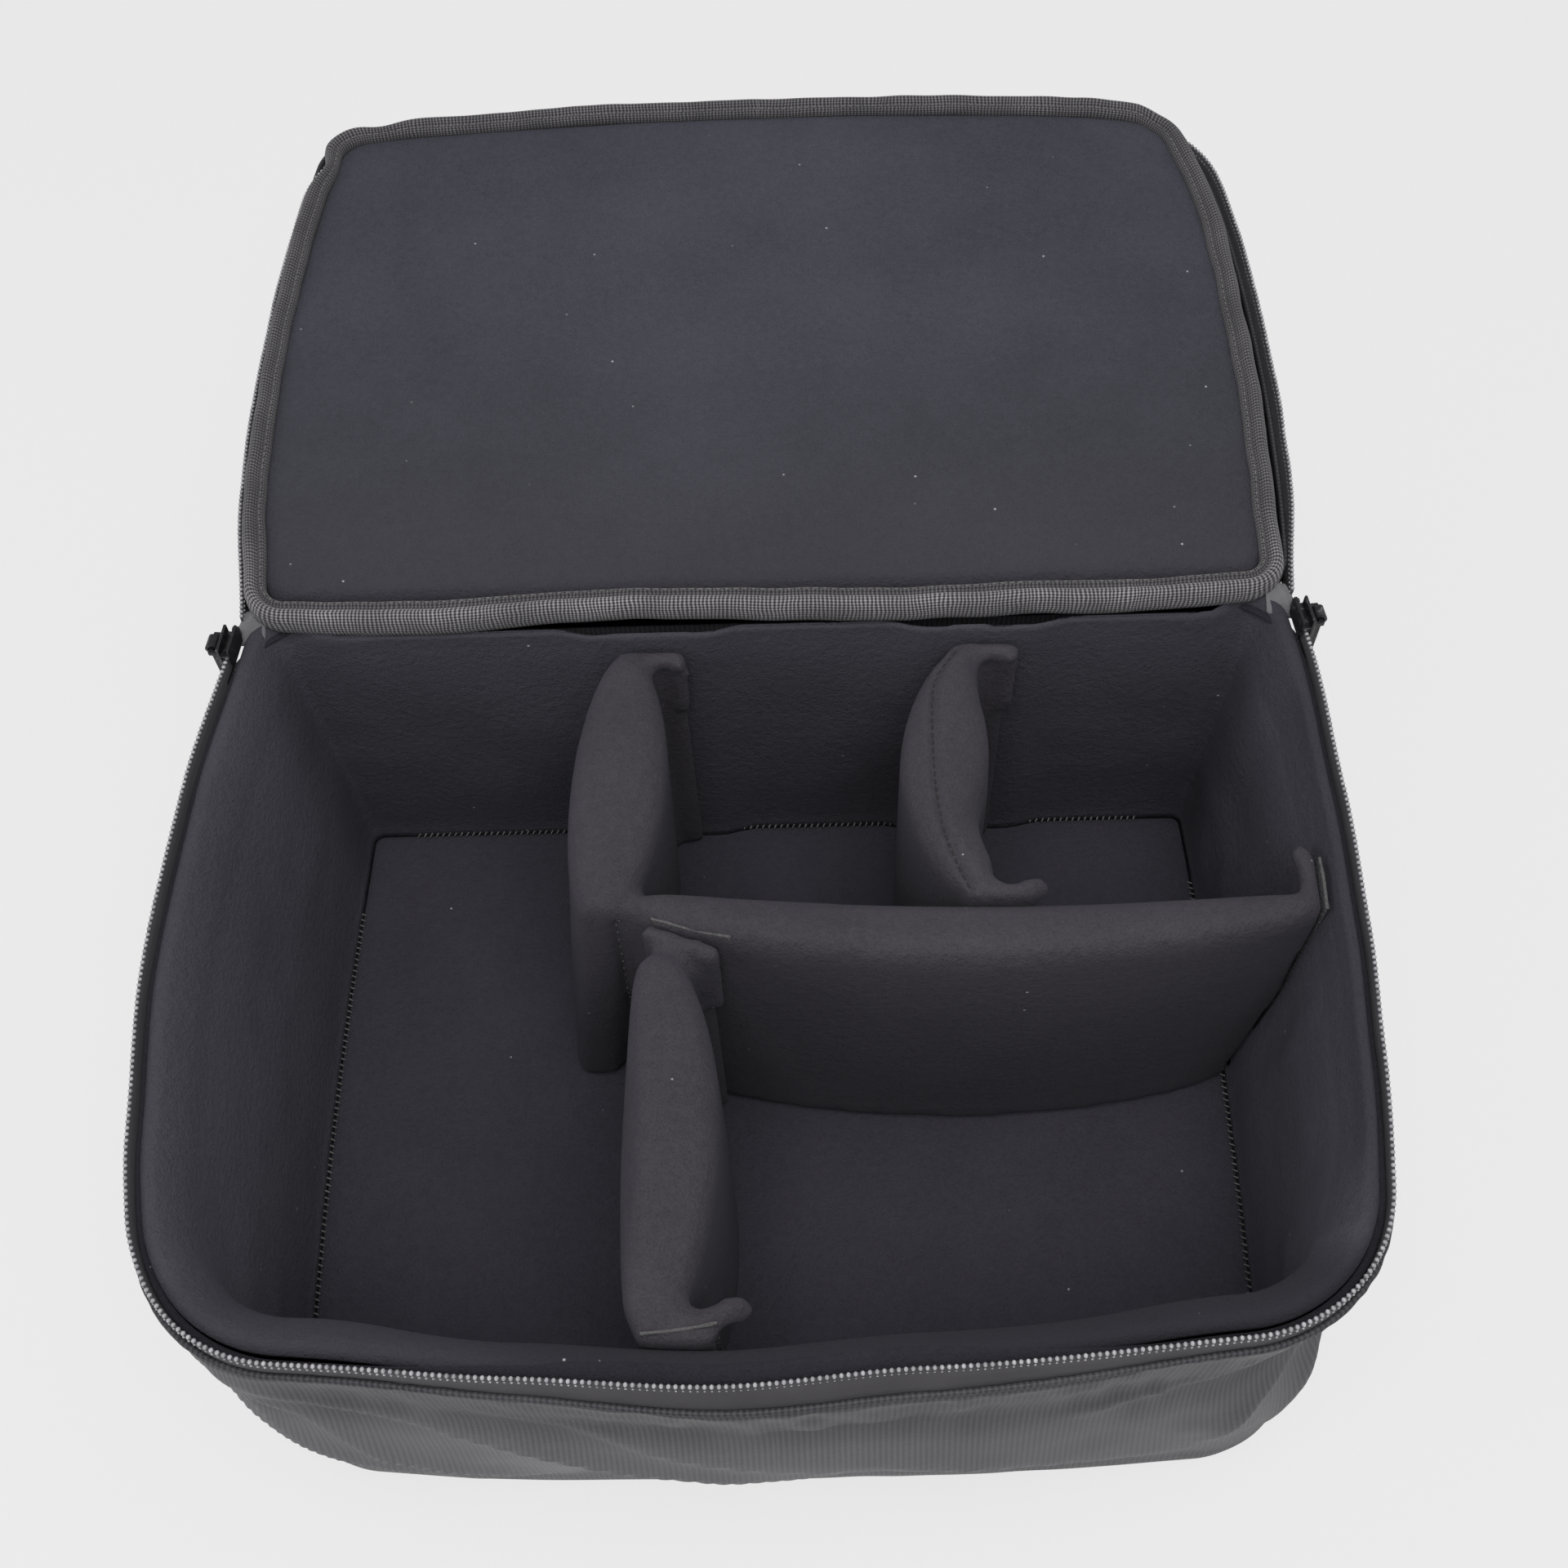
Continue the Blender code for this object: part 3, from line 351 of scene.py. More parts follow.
def ball(sizes, sides=6, rings=4):
    """A rounded bead: vertices and faces of an ellipsoid with its poles along X."""
    vertices, faces = [(-sizes[0], 0.0, 0.0)], []
    for i in range(1, rings):
        angle = math.pi * i / rings
        for j in range(sides):
            turn = 2 * math.pi * j / sides
            vertices.append((-sizes[0] * math.cos(angle),
                             sizes[1] * math.sin(angle) * math.cos(turn),
                             sizes[2] * math.sin(angle) * math.sin(turn)))
    last = len(vertices)
    vertices.append((sizes[0], 0.0, 0.0))
    for j in range(sides):
        k = (j + 1) % sides
        faces.append((0, 1 + k, 1 + j))
        for i in range(rings - 2):
            a, b = 1 + i * sides, 1 + (i + 1) * sides
            faces.append((a + j, a + k, b + k, b + j))
        faces.append((last, last - sides + j, last - sides + k))
    return np.array(vertices), faces


def frame_at(place, along, up=UP):
    """A 4x4 frame at a place, with X along and Z near to up."""
    x = Vector(along).normalized()
    y = Vector(up).cross(x).normalized()
    return Matrix.Translation(Vector(place)) @ Matrix((x, y, x.cross(y))).transposed().to_4x4()


def along_path(path, at):
    """The points at some distances along a path."""
    far = lengths(path)
    return np.column_stack([np.interp(at, far, path[:, k]) for k in range(3)])


def spaced(row, pitch, closed=False):
    """Points a pitch apart along a row, with the direction there."""
    path = np.vstack([row, row[:1]]) if closed else row
    total = lengths(path)[-1]
    count = int(total / pitch)
    at = (np.arange(count) + 0.5) * total / count
    return along_path(path, at), along_path(path, at + pitch / 4) - along_path(path, at - pitch / 4)


def evened(row, count):
    """The same row with its points evenly spread."""
    return along_path(row, np.linspace(0.0, lengths(row)[-1], count))


def stitches(name, row, pitch, size, look, ups=(UP,), closed=False, turn=0.0):
    """Thread stitches along a row of points, each turned sideways by an angle."""
    points, ways = spaced(row, pitch, closed)
    slant = Matrix.Rotation(turn, 4, "Z")
    frames = [frame_at(point, way, ups[i * len(ups) // len(points)]) @ slant
              for i, (point, way) in enumerate(zip(points, ways))]
    return repeated(name, ball(size), frames, look)


def tube(name, path, radius, look, beside=None):
    """A fine bead along a path, a little uneven; beside is a direction square to the path."""
    way = np.gradient(path, axis=0)
    way /= np.linalg.norm(way, axis=1, keepdims=True)
    side = np.cross(way, UP) if beside is None else np.tile(beside, (len(path), 1))
    side /= np.linalg.norm(side, axis=1, keepdims=True)
    up = np.cross(side, way)
    size = radius * (1 + 0.25 * waves(path, 0.003, 81))
    angles = np.linspace(0, 2 * math.pi, 8, endpoint=False)
    rows = [path[i] + size[i] * (np.outer(np.cos(angles), side[i]) + np.outer(np.sin(angles), up[i]))
            for i in range(len(path))]
    return skin(name, rows, look, closed=True, capped="both", flip=True)


def joined(first, *others):
    with bpy.context.temp_override(active_object=first, object=first,
                                   selected_editable_objects=[first, *others],
                                   selected_objects=[first, *others]):
        bpy.ops.object.join()
    return first


def apply_all(piece):
    """Makes a piece's mesh what its modifiers show."""
    graph = bpy.context.evaluated_depsgraph_get()
    mesh = bpy.data.meshes.new_from_object(piece.evaluated_get(graph))
    piece.modifiers.clear()
    piece.data = mesh


def points_of(piece):
    points = np.zeros(len(piece.data.vertices) * 3)
    piece.data.vertices.foreach_get("co", points)
    return points.reshape(-1, 3)


def place_mesh(piece, move):
    """Moves a mesh's points with a function of all of them."""
    piece.data.vertices.foreach_set("co", np.ravel(move(points_of(piece))))
    piece.data.update()

# Materials
class Look:
    """A procedural material and short ways to add its nodes."""

    def __init__(self, name, roughness, **uniform):
        self.made = bpy.data.materials.new(name)
        self.made.use_nodes = True
        self.tree = self.made.node_tree
        self.shader = self.tree.nodes["Principled BSDF"]
        self.shader.inputs["Roughness"].default_value = roughness
        for socket, value in uniform.items():
            self.shader.inputs[socket.replace("_", " ")].default_value = value
        where = self.tree.nodes.new("ShaderNodeTexCoord")
        self.place = where.outputs["Object"]
        chart = self.tree.nodes.new("ShaderNodeUVMap")
        chart.uv_map = "cloth"
        self.chart = chart.outputs["UV"]

    def link(self, source, target):
        self.tree.links.new(source, target)
        return target

    def node(self, kind, inputs=None, **settings):
        made = self.tree.nodes.new("ShaderNode" + kind)
        for key, value in settings.items():
            setattr(made, key, value)
        for key, value in (inputs or {}).items():
            if isinstance(value, bpy.types.NodeSocket):
                self.link(value, made.inputs[key])
            else:
                made.inputs[key].default_value = value
        return made

    def noise(self, size, detail=2.0):
        made = self.node("TexNoise", {"Vector": self.place, "Scale": 1 / size,
                                      "Detail": detail, "Roughness": 0.6})
        return made.outputs["Fac"]

    def spots(self, size):
        """Distance to the nearest of many points, and that point's random colour."""
        made = self.node("TexVoronoi", {"Vector": self.place, "Scale": 1 / size})
        return made.outputs["Distance"], made.outputs["Color"]

    def painted(self, name):
        """A value that paint() kept on the piece."""
        return self.node("Attribute", attribute_name=name).outputs["Fac"]

    def sum(self, a, b, operation="ADD", clamp=False):
        made = self.node("Math", {0: a, 1: b}, operation=operation, use_clamp=clamp)
        return made.outputs[0]

    def mapped(self, value, low, high, to_low=0.0, to_high=1.0):
        made = self.node("MapRange", {"Value": value, "From Min": low, "From Max": high,
                                      "To Min": to_low, "To Max": to_high})
        return made.outputs["Result"]

    def layered(self, *layers):
        """Layers added up to 1 at most: each a value, its share, and the range of it that counts."""
        total = 0.0
        for value, share, *span in layers:
            low, high = span or (0.3, 0.7)
            total = self.sum(total, self.mapped(value, low, high, 0.0, share), clamp=True)
        return total

    def mix(self, share, a, b):
        """Colour a where share is 0, and b where it is 1."""
        made = self.node("Mix", data_type="RGBA")
        for name, value in (("Factor", share), ("A", a), ("B", b)):
            socket = [s for s in made.inputs if s.name == name and s.enabled][0]
            if isinstance(value, bpy.types.NodeSocket):
                self.link(value, socket)
            else:
                socket.default_value = (*value, 1.0)
        return [s for s in made.outputs if s.enabled][0]

    def part(self, vector, axis):
        return self.node("SeparateXYZ", {"Vector": vector}).outputs[axis]

    def ripple(self, value, pitch):
        """A sine along a distance, from 0 to 1, with the given pitch."""
        turned = self.sum(value, 2 * math.pi / pitch, "MULTIPLY")
        return self.mapped(self.sum(turned, 0.0, "SINE"), -1.0, 1.0)

    def shade(self, share, dark, light):
        """The base colour, from dark to light, with any painted light and shade that the share
        carries.
        """
        self.link(self.mix(share, dark, light), self.shader.inputs["Base Color"])

    def rough(self, value, low, high, to_low, to_high):
        self.link(self.mapped(value, low, high, to_low, to_high), self.shader.inputs["Roughness"])

    def raise_by(self, height, depth, strength=1.0):
        """Bump from a height of 0 to 1 that stands for depth in metres, over any bump before."""
        made = self.node("Bump", {"Height": height, "Distance": depth, "Strength": strength})
        if self.shader.inputs["Normal"].links:
            self.link(self.shader.inputs["Normal"].links[0].from_socket, made.inputs["Normal"])
        self.link(made.outputs["Normal"], self.shader.inputs["Normal"])


def velour(name, dark, light, rubbed=None, shaded=False):
    """Brushed loop cloth: soft pile and lint, rubbed dull near the hinge, and darkened by painted
    shade from a kept attribute where shaded is set.
    """
    look = Look(name, 0.95, Sheen_Weight=0.07, Sheen_Roughness=0.45, Specular_IOR_Level=0.08)
    look.shader.inputs["Sheen Tint"].default_value = (0.62, 0.66, 0.78, 1.0)
    pile = look.noise(0.0007, 3.0)
    tufts = look.noise(0.0028)
    colour = look.mix(look.layered((pile, 0.45), (tufts, 0.2), (look.noise(0.030, 3.0), 0.2),
                                   (look.noise(0.110, 1.0), 0.25, 0.35, 0.65)), dark, light)
    if rubbed:
        dull = look.mapped(look.part(look.place, "Y"), HINGE_Y, HINGE_Y + 0.14, 0.55, 0.0)
        colour = look.mix(dull, colour, rubbed)
    # Painted shade: the colour goes towards half of its dark where the kept attribute says.
    if shaded:
        colour = look.mix(look.painted("painted_pile_shade"), colour, [part / 2 for part in dark])
    distance, tint = look.spots(0.009)
    near = look.mapped(distance, 0.030, 0.060, 1.0, 0.0)
    chosen = look.mapped(look.part(tint, "X"), 0.78, 0.80)
    look.shade(look.sum(near, chosen, "MULTIPLY"), colour, LINT)
    look.raise_by(pile, 0.0006, 0.8)
    look.raise_by(tufts, 0.0012, 0.6)
    return look.made


def nylon(name, dark, light):
    """Satin pack cloth with fine ribs down it and faint creases, and painted light and shade on its
    folds from a kept attribute.
    """
    look = Look(name, 0.42, Specular_IOR_Level=0.14)
    ribs = look.ripple(look.part(look.chart, "X"), 0.0017)
    broad = look.noise(0.060, 3.0)
    grain = look.noise(0.0011)
    look.shade(look.layered((ribs, 0.22, 0.0, 1.0), (broad, 0.15), (grain, 0.12),
                            (look.painted("painted_nylon_shading"), 0.62, 0.0, 1.0)), dark, light)
    look.rough(look.sum(broad, grain), 0.7, 1.3, 0.34, 0.50)
    look.raise_by(ribs, 0.00012, 0.8)
    look.raise_by(look.ripple(look.part(look.chart, "Y"), 0.0006), 0.00004, 0.6)
    look.raise_by(look.noise(0.006, 3.0), 0.0005, 0.25)
    return look.made


def ribbed_tape(name, dark, light, pitch):
    """A woven tape: ribs across it, fine threads along it, rib tops worn at random, and painted light
    and shade from a kept attribute over that.
    """
    look = Look(name, 0.8, Specular_IOR_Level=0.3, Sheen_Weight=0.15)
    wander = look.mapped(look.noise(0.012), 0.0, 1.0, -pitch, pitch)
    ribs = look.ripple(look.sum(look.part(look.chart, "X"), wander), pitch)
    threads = look.ripple(look.part(look.chart, "Y"), pitch * 0.80)
    both = look.layered((ribs, 0.60, 0.0, 1.0), (threads, 0.40, 0.0, 1.0))
    wear_and_shade = look.mapped(look.noise(0.020, 3.0), 0.25, 0.75, 0.55, 1.1)
    # painted light and shade on the binding, multiplied into the random wear
    wear_and_shade = look.sum(wear_and_shade, look.painted("painted_binding_shading"), "MULTIPLY")
    look.shade(look.sum(look.mapped(both, 0.25, 0.95), wear_and_shade, "MULTIPLY", True), dark, light)
    look.raise_by(both, pitch * 0.30, 0.9)
    look.raise_by(look.noise(0.0004), 0.0001, 0.5)
    return look.made


def plain_tape(name, dark, light):
    """The zip's flat woven tape, a fine herringbone."""
    look = Look(name, 0.75, Specular_IOR_Level=0.35, Sheen_Weight=0.1)
    folded = look.sum(look.part(look.chart, "Y"), 0.0016, "PINGPONG")
    bone = look.ripple(look.sum(folded, look.part(look.chart, "X")), 0.0007)
    look.shade(look.layered((bone, 0.55, 0.0, 1.0), (look.noise(0.025, 3.0), 0.45)), dark, light)
    look.raise_by(bone, 0.00012, 0.8)
    return look.made


def glossy_teeth(name, dark, light):
    """Moulded teeth with dust between them and slightly uneven shine."""
    look = Look(name, 0.3, Specular_IOR_Level=0.6)
    fine = look.noise(0.0006)
    look.shade(look.layered((look.noise(0.004), 1.0)), dark, light)
    look.rough(fine, 0.3, 0.7, 0.22, 0.42)
    look.raise_by(fine, 0.00005, 0.4)
    return look.made


def painted_metal(name, dark, light):
    """Satin black slider metal with scuffed, lighter patches."""
    look = Look(name, 0.35, Metallic=0.75)
    scuffs = look.noise(0.0018, 4.0)
    patches = look.mapped(look.noise(0.008), 0.4, 0.6)
    look.shade(look.sum(look.mapped(scuffs, 0.56, 0.66), patches, "MULTIPLY"), dark, light)
    look.rough(scuffs, 0.3, 0.7, 0.26, 0.48)
    look.raise_by(scuffs, 0.00008, 0.5)
    return look.made


def hook_cloth(name, dark, light):
    """Hook tape: a field of small stiff hooks."""
    look = Look(name, 0.6, Specular_IOR_Level=0.4)
    tops = look.mapped(look.spots(0.0013)[0], 0.1, 0.45, 1.0, 0.0)
    look.shade(tops, dark, light)
    look.raise_by(tops, 0.0006, 0.8)
    return look.made


def selvage(name, dark, light):
    """The pale woven edge of the hook tape."""
    look = Look(name, 0.8, Sheen_Weight=0.2)
    fine = look.noise(0.0009, 3.0)
    look.shade(look.layered((fine, 1.0)), dark, light)
    look.raise_by(fine, 0.0003, 0.8)
    return look.made


def thread(name, dark, light):
    """Twisted sewing thread."""
    look = Look(name, 0.7, Sheen_Weight=0.2)
    twist = look.noise(0.0004)
    look.shade(look.layered((twist, 0.6), (look.noise(0.012, 1.0), 0.4)), dark, light)
    look.raise_by(twist, 0.0001, 0.7)
    return look.made


LINT = (0.42, 0.42, 0.43)
LID_VELOUR = velour("lid_velour", (0.040, 0.041, 0.052), (0.078, 0.080, 0.100),
                    rubbed=(0.042, 0.038, 0.043))
# The walls' velour has lighter colours than the other velours: painted light against the shade deep in
# the box, with painted shade put back on its rolls and the back wall by an attribute.
WALL_VELOUR = velour("wall_velour", (0.060, 0.0585, 0.0715), (0.107, 0.104, 0.126), shaded=True)
FLOOR_VELOUR = velour("floor_velour", (0.035, 0.034, 0.043), (0.064, 0.062, 0.077))
FACING = velour("facing_knit", (0.019, 0.019, 0.024), (0.037, 0.036, 0.045))
PAD_VELOUR = velour("pad_velour", (0.041, 0.038, 0.045), (0.076, 0.071, 0.083))
NYLON = nylon("pack_nylon", (0.020, 0.021, 0.026), (0.166, 0.166, 0.175))
GROSGRAIN = ribbed_tape("grosgrain", (0.024, 0.023, 0.026), (0.420, 0.410, 0.425), 0.00135)
TAPE = plain_tape("zip_tape", (0.034, 0.033, 0.037), (0.070, 0.068, 0.076))
GUSSET = plain_tape("gusset_nylon", (0.120, 0.120, 0.128), (0.210, 0.210, 0.220))
TEETH = glossy_teeth("zip_teeth", (0.24, 0.24, 0.255), (0.50, 0.50, 0.52))
METAL = painted_metal("slider_metal", (0.035, 0.035, 0.038), (0.20, 0.20, 0.21))
HOOKS = hook_cloth("hook_tape", (0.024, 0.024, 0.027), (0.095, 0.095, 0.099))
SELVAGE = selvage("hook_selvage", (0.045, 0.045, 0.047), (0.120, 0.117, 0.115))
PALE_THREAD = thread("pale_thread", (0.060, 0.058, 0.055), (0.190, 0.185, 0.175))
DARK_THREAD = thread("dark_thread", (0.003, 0.003, 0.004), (0.012, 0.012, 0.014))


# Base and walls
FOLDS = (
    # where each fold runs, along the wall from the middle of the front and up it; height; width
    (((-0.080, 0.124), (-0.040, 0.092), (0.000, 0.078), (0.060, 0.064)), 0.0030, 0.0060),
    (((-0.147, 0.130), (-0.095, 0.095), (-0.024, 0.062), (0.020, 0.034)), 0.0044, 0.0060),
    (((-0.155, 0.134), (-0.120, 0.068), (-0.073, 0.030)), 0.0044, 0.0050),
    (((-0.178, 0.128), (-0.150, 0.085), (-0.120, 0.038), (-0.100, 0.012)), 0.0042, 0.0046),
    (((-0.196, 0.104), (-0.168, 0.062), (-0.142, 0.020)), 0.0036, 0.0042),
    (((-0.030, 0.092), (0.030, 0.078), (0.080, 0.056), (0.125, 0.034)), 0.0040, 0.0085),
    (((0.176, 0.126), (0.162, 0.088), (0.136, 0.046)), 0.0040, 0.0046),
    (((0.200, 0.118), (0.182, 0.076), (0.160, 0.030)), 0.0036, 0.0044),
    (((0.140, 0.122), (0.118, 0.104), (0.086, 0.094)), 0.0026, 0.0050),
)
# How deep each fold at a back corner is, and how far round the corner it runs
CORNER_FOLDS = ((0.0016, 0.062), (0.0020, 0.030), (0.0018, -0.006), (0.0016, -0.040),
                (0.0012, -0.075))
CORNER_FOLD_RUN = ((0.25, 0.134), (1.0, 0.070), (1.5, 0.018))
SIDE_FOLDS = (-0.245, -0.310, 0.250, 0.320)
COVER_FINENESS = 4
COVER_STANDS_OFF = 0.0017
# How far the cover is tucked in at its foot, by height
COVER_TUCKS = {0.0013: 0.0038, 0.0022: 0.0020, 0.0045: 0.0006}
# Inset and height of the base panel, from its rounded edge down to the underside
BASE_PROFILE = ((0.0060, 0.0026), (0.0040, 0.0024), (0.0026, 0.0019), (0.0023, 0.0010),
                (0.0028, 0.0002), (0.0060, 0.0))


def fold_height(u, z, path, height, width):
    """The height that one fold adds at places along and up the wall."""
    best = np.full(len(u), 1e9)
    at = np.zeros(len(u))
    far = lengths(np.array(path))
    for n, ((u0, z0), (u1, z1)) in enumerate(zip(path, path[1:])):
        du, dz = u1 - u0, z1 - z0
        size = math.hypot(du, dz)
        share = np.clip(((u - u0) * du + (z - z0) * dz) / size ** 2, 0.0, 1.0)
        distance = np.hypot(u - u0 - share * du, z - z0 - share * dz)
        nearer = distance < best
        best = np.where(nearer, distance, best)
        at = np.where(nearer, (far[n] + share * size) / far[-1], at)
    crest = np.exp(-np.sqrt((best / width) ** 2 + 0.06)) * 1.28
    return height * crest * np.sin(np.pi * np.clip(at * 0.92 + 0.04, 0.0, 1.0)) ** 0.6


def cover_relief(u, row, total):
    """How far the outer cloth stands off the frame's wall."""
    y, z = row[:, 1], row[:, 2]
    front = ramp(-y, 0.07, 0.12)
    belly = 0.0032 * bump(z, 0.060, 0.044) * (0.4 + 0.8 * front)
    valley = -0.0022 * bump(z, 0.104, 0.030) * (0.6 + 0.4 * front)
    relief = belly + valley + flare(row)
    for path, height, width in FOLDS:
        relief = relief + fold_height(u, z, path, height, width)
    back_corner = total / 2 - 0.150
    for side in (-1.0, 1.0):
        for height, reach in CORNER_FOLDS:
            path = [(side * (back_corner + reach * share), up) for share, up in CORNER_FOLD_RUN]
            relief = relief + fold_height(u, z, path, height, 0.0045)
    for centre in SIDE_FOLDS:
        path = ((centre - 0.010, 0.130), (centre + 0.012, 0.080), (centre, 0.020))
        relief = relief + fold_height(u, z, path, 0.0011, 0.007)
    flat = np.column_stack([u, np.zeros(len(u)), z])
    strength = 0.35 + 0.65 * ramp(u, -0.12, 0.02) * (1 - ramp(u, 0.16, 0.24))
    stretched = flat * (1, 1, 0.35)
    gathers = waves(stretched, 0.0078, 3) * strength * (0.7 + 0.6 * waves(stretched, 0.05, 5))
    near_hem = np.exp(-np.maximum(HEM_Z - z, 0.0) / 0.026) * ramp(HEM_Z - z, 0.0, 0.012)
    relief = relief + 0.0036 * np.maximum(gathers, -0.6) * near_hem
    return relief + 0.0006 * waves(flat, 0.016, 8) + 0.0010 * waves(flat * (1, 1, 1.6), 0.050, 9)


def make_cover():
    """The nylon wall, gathered under the hem and creased from its corners."""
    levels = [*COVER_TUCKS, 0.0080, *np.linspace(0.012, 0.112, 34), *np.linspace(0.1145, 0.1395, 17)]
    along = lengths(level(wall_plan(HEM_Z).ring(0.0, COVER_FINENESS), 0.0), True)
    total = along[-1]
    u = np.where(along[:-1] > total / 2, along[:-1] - total, along[:-1])
    rows, reliefs = [], []
    for z in levels:
        inset = COVER_TUCKS.get(z, 0.0) - COVER_STANDS_OFF
        row = level(wall_plan(z).ring(inset, COVER_FINENESS), z)
        relief = cover_relief(u, row, total) * ramp(z, 0.0, 0.016)
        if z > HEM_Z - 0.0012:
            relief = relief - 0.0009
        rows.append(row + outward(row) * relief[:, None])
        reliefs.append(relief - flare(row))
    rows = np.array(rows)
    shape = fallen(lean(rows.reshape(-1, 3))).reshape(rows.shape)
    piece = skin("outer_wall", shape, NYLON, closed=True)
    # Painted light and shade on the nylon: ridges lighter and hollows darker, a band of painted shade
    # under the zip's overhang, darker towards the right and lighter at the left.
    painted_shading = 0.36 + np.clip(np.array(reliefs) / 0.0065, -0.35, 0.35)
    painted_shading = painted_shading - 0.50 * bump(rows[:, :, 2], 0.122, 0.024)
    painted_shading = painted_shading - 0.36 * ramp(u, 0.03, 0.13) * (1 - ramp(u, 0.22, 0.30))
    painted_shading = painted_shading + 0.10 * (1 - ramp(u, -0.16, -0.04))
    paint(piece, "painted_nylon_shading", np.clip(painted_shading, 0.0, 1.0))
    thicken(piece, CLOTH)
    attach(piece, "body")
    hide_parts("wall_cover", "front_foam", "back_foam", "left_foam", "right_foam")


def make_base():
    """The base: nylon over its board and foam, sewn round underneath."""
    rows = [level(wall_plan(0.0).ring(inset, 2), z) for inset, z in BASE_PROFILE]
    rows = [fallen(row) for row in (shrunk(rows[0], 0.5), *rows, shrunk(rows[-1], 0.5))]
    base = skin("base_panel", rows, NYLON, closed=True, capped="both", flip=True)
    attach(base, "body")
    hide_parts("base_cover", "base_board", "base_foam")
    row = fallen(level(wall_plan(0.0).ring(0.0075, 2), -0.00005))
    seam = stitches("base_stitches", row, 0.0040, (0.0013, 0.00032, 0.00025), DARK_THREAD,
                    closed=True)
    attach(seam, "body")


def make_body_zip():
    """The body's half of the zip: its tape and its teeth."""
    rows = []
    for share in np.linspace(0.0, 1.0, 6):
        z = TAPE_FOOT_Z + (TAPE_TOP_Z - TAPE_FOOT_Z) * share
        row = level(wall_plan(z).run(0.0, ZIP_END_Y, 2), z)
        row[:, 2] += ramp(row[:, 1], 0.088, 0.100) * max(0.0, HEM_Z + 0.0020 - z)
        wave = 0.0004 * waves(row * (1, 1, 0), 0.022, 11) * (1 - share)
        rows.append(lean(row + outward(row, closed=False) * (flare(row) + wave)[:, None]))
    tape = thicken(skin("zip_tape_body", rows, TAPE), TAPE_THICKNESS, 0.0)
    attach(tape, "body")
    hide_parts("body_zip_tape")

    row = lean(level(wall_plan(CHAIN_Z).run(0.0, ZIP_END_Y, 2), CHAIN_Z))
    teeth = make_teeth("zip_teeth_body", row)
    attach(teeth, "body")
    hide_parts("body_zip_chain")


def make_hem():
    """The rolled seam that joins the zip's tape to the cover."""
    ring = level(wall_plan(HEM_Z).ring(-0.0014, 4), HEM_Z)
    side = outward(ring)
    ring = ring + side * flare(ring)[:, None]
    swell = HEM_RADIUS + 0.0003 * waves(ring, 0.004, 14)
    rows = []
    for angle in np.linspace(0.0, 2 * math.pi, 8, endpoint=False):
        rows.append(lean(ring + side * (swell * math.cos(angle))[:, None]
                         + np.outer(swell * math.sin(angle), UP)))
    seam = skin("cover_seam", rows + rows[:1], NYLON, closed=True, flip=True)
    merge(seam)
    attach(seam, "body")
    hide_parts("cover_hem")


def merge(piece):
    """Welds the doubled row of a tube."""
    bm = bmesh.new()
    bm.from_mesh(piece.data)
    bmesh.ops.remove_doubles(bm, verts=bm.verts, dist=0.00001)
    bm.to_mesh(piece.data)
    bm.free()


def make_teeth(name, row):
    """Zip teeth along a row: a bright head on the row and a leg on the tape under it."""
    heads, legs = [], []
    for point, way in zip(*spaced(row, TOOTH_PITCH)):
        heads.append(frame_at(point, way))
        out = Vector((way[1], -way[0], 0.0)).normalized()
        foot = Vector(point) - Vector(UP) * TOOTH_DROP + out * TOOTH_SPREAD
        legs.append(frame_at(foot, way) @ Matrix.Rotation(TOOTH_TURN, 4, "X"))
    head = repeated(name, ball(TOOTH_SIZE, 8, 5), heads, TEETH)
    leg = repeated(name + "_legs", ball(TOOTH_LEG), legs, TEETH)
    return joined(head, leg)


def tab_clear(points):
    """0 where a divider's tab lies on the lining, and 1 well away from it."""
    clear = np.ones(len(points))
    for node in ("long_divider_back_tab", "rear_divider_back_tab", "long_divider_side_tab",
                 "front_divider_front_tab"):
        low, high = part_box(node)
        away = np.zeros(len(points))
        for k in (0, 1):
            middle, half = (low[k] + high[k]) / 2, (high[k] - low[k]) / 2
            away = np.maximum(away, np.abs(points[:, k] - middle) - half)
        clear = clear * ramp(away, 0.006, 0.022)
    return clear


BACK_SPARE = 0.0038
RIGHT_SPARE = 0.0045
FRONT_ROLL_FALL = 0.0032
# Inset and height of the floor's cloth, from under the wall's lining to its middle
FLOOR_PROFILE = ((0.0100, 0.0124), (0.0126, 0.0132), (0.0134, 0.0155), (0.0136, 0.0200),
                 (0.0134, 0.0300), (0.0131, 0.0450), (FLOOR_Z, 0.0650), (FLOOR_Z, 0.0850),
                 (FLOOR_Z, 0.1000), (FLOOR_Z, 0.1080))
FLOOR_HALF = np.array((0.164, 0.1155))
FACING_Z = 0.1428
FACING_SPAN = (0.0006, 0.0105)
# share of the span, height, and how far more it stands up where it lies over the lining's roll
FACING_PROFILE = ((0.0, 0.1360, 0.0), (0.0, 0.1426, 0.0), (0.24, 0.1428, 0.0030),
                  (0.45, 0.1428, 0.0040), (0.65, 0.1426, 0.0036), (0.85, 0.1424, 0.0018),
                  (1.0, 0.1420, -0.0006))
# Inset and height of the lining, over its roll and down behind it
LINING_PROFILE = ((0.0034, 0.1420), (0.0038, 0.1444), (0.0050, 0.1456), (0.0070, 0.1450),
                  (0.0090, 0.1430), (0.0106, 0.1400), (0.0116, 0.1362), (0.0120, 0.1325))


def front_middle(points):
    """1 along the middle of the front, where the facing lies over the lining's roll."""
    x = points[:, 0]
    return ramp(-points[:, 1], 0.10, 0.115) * ramp(x, -0.165, -0.090) * (1 - ramp(x, 0.060, 0.135))


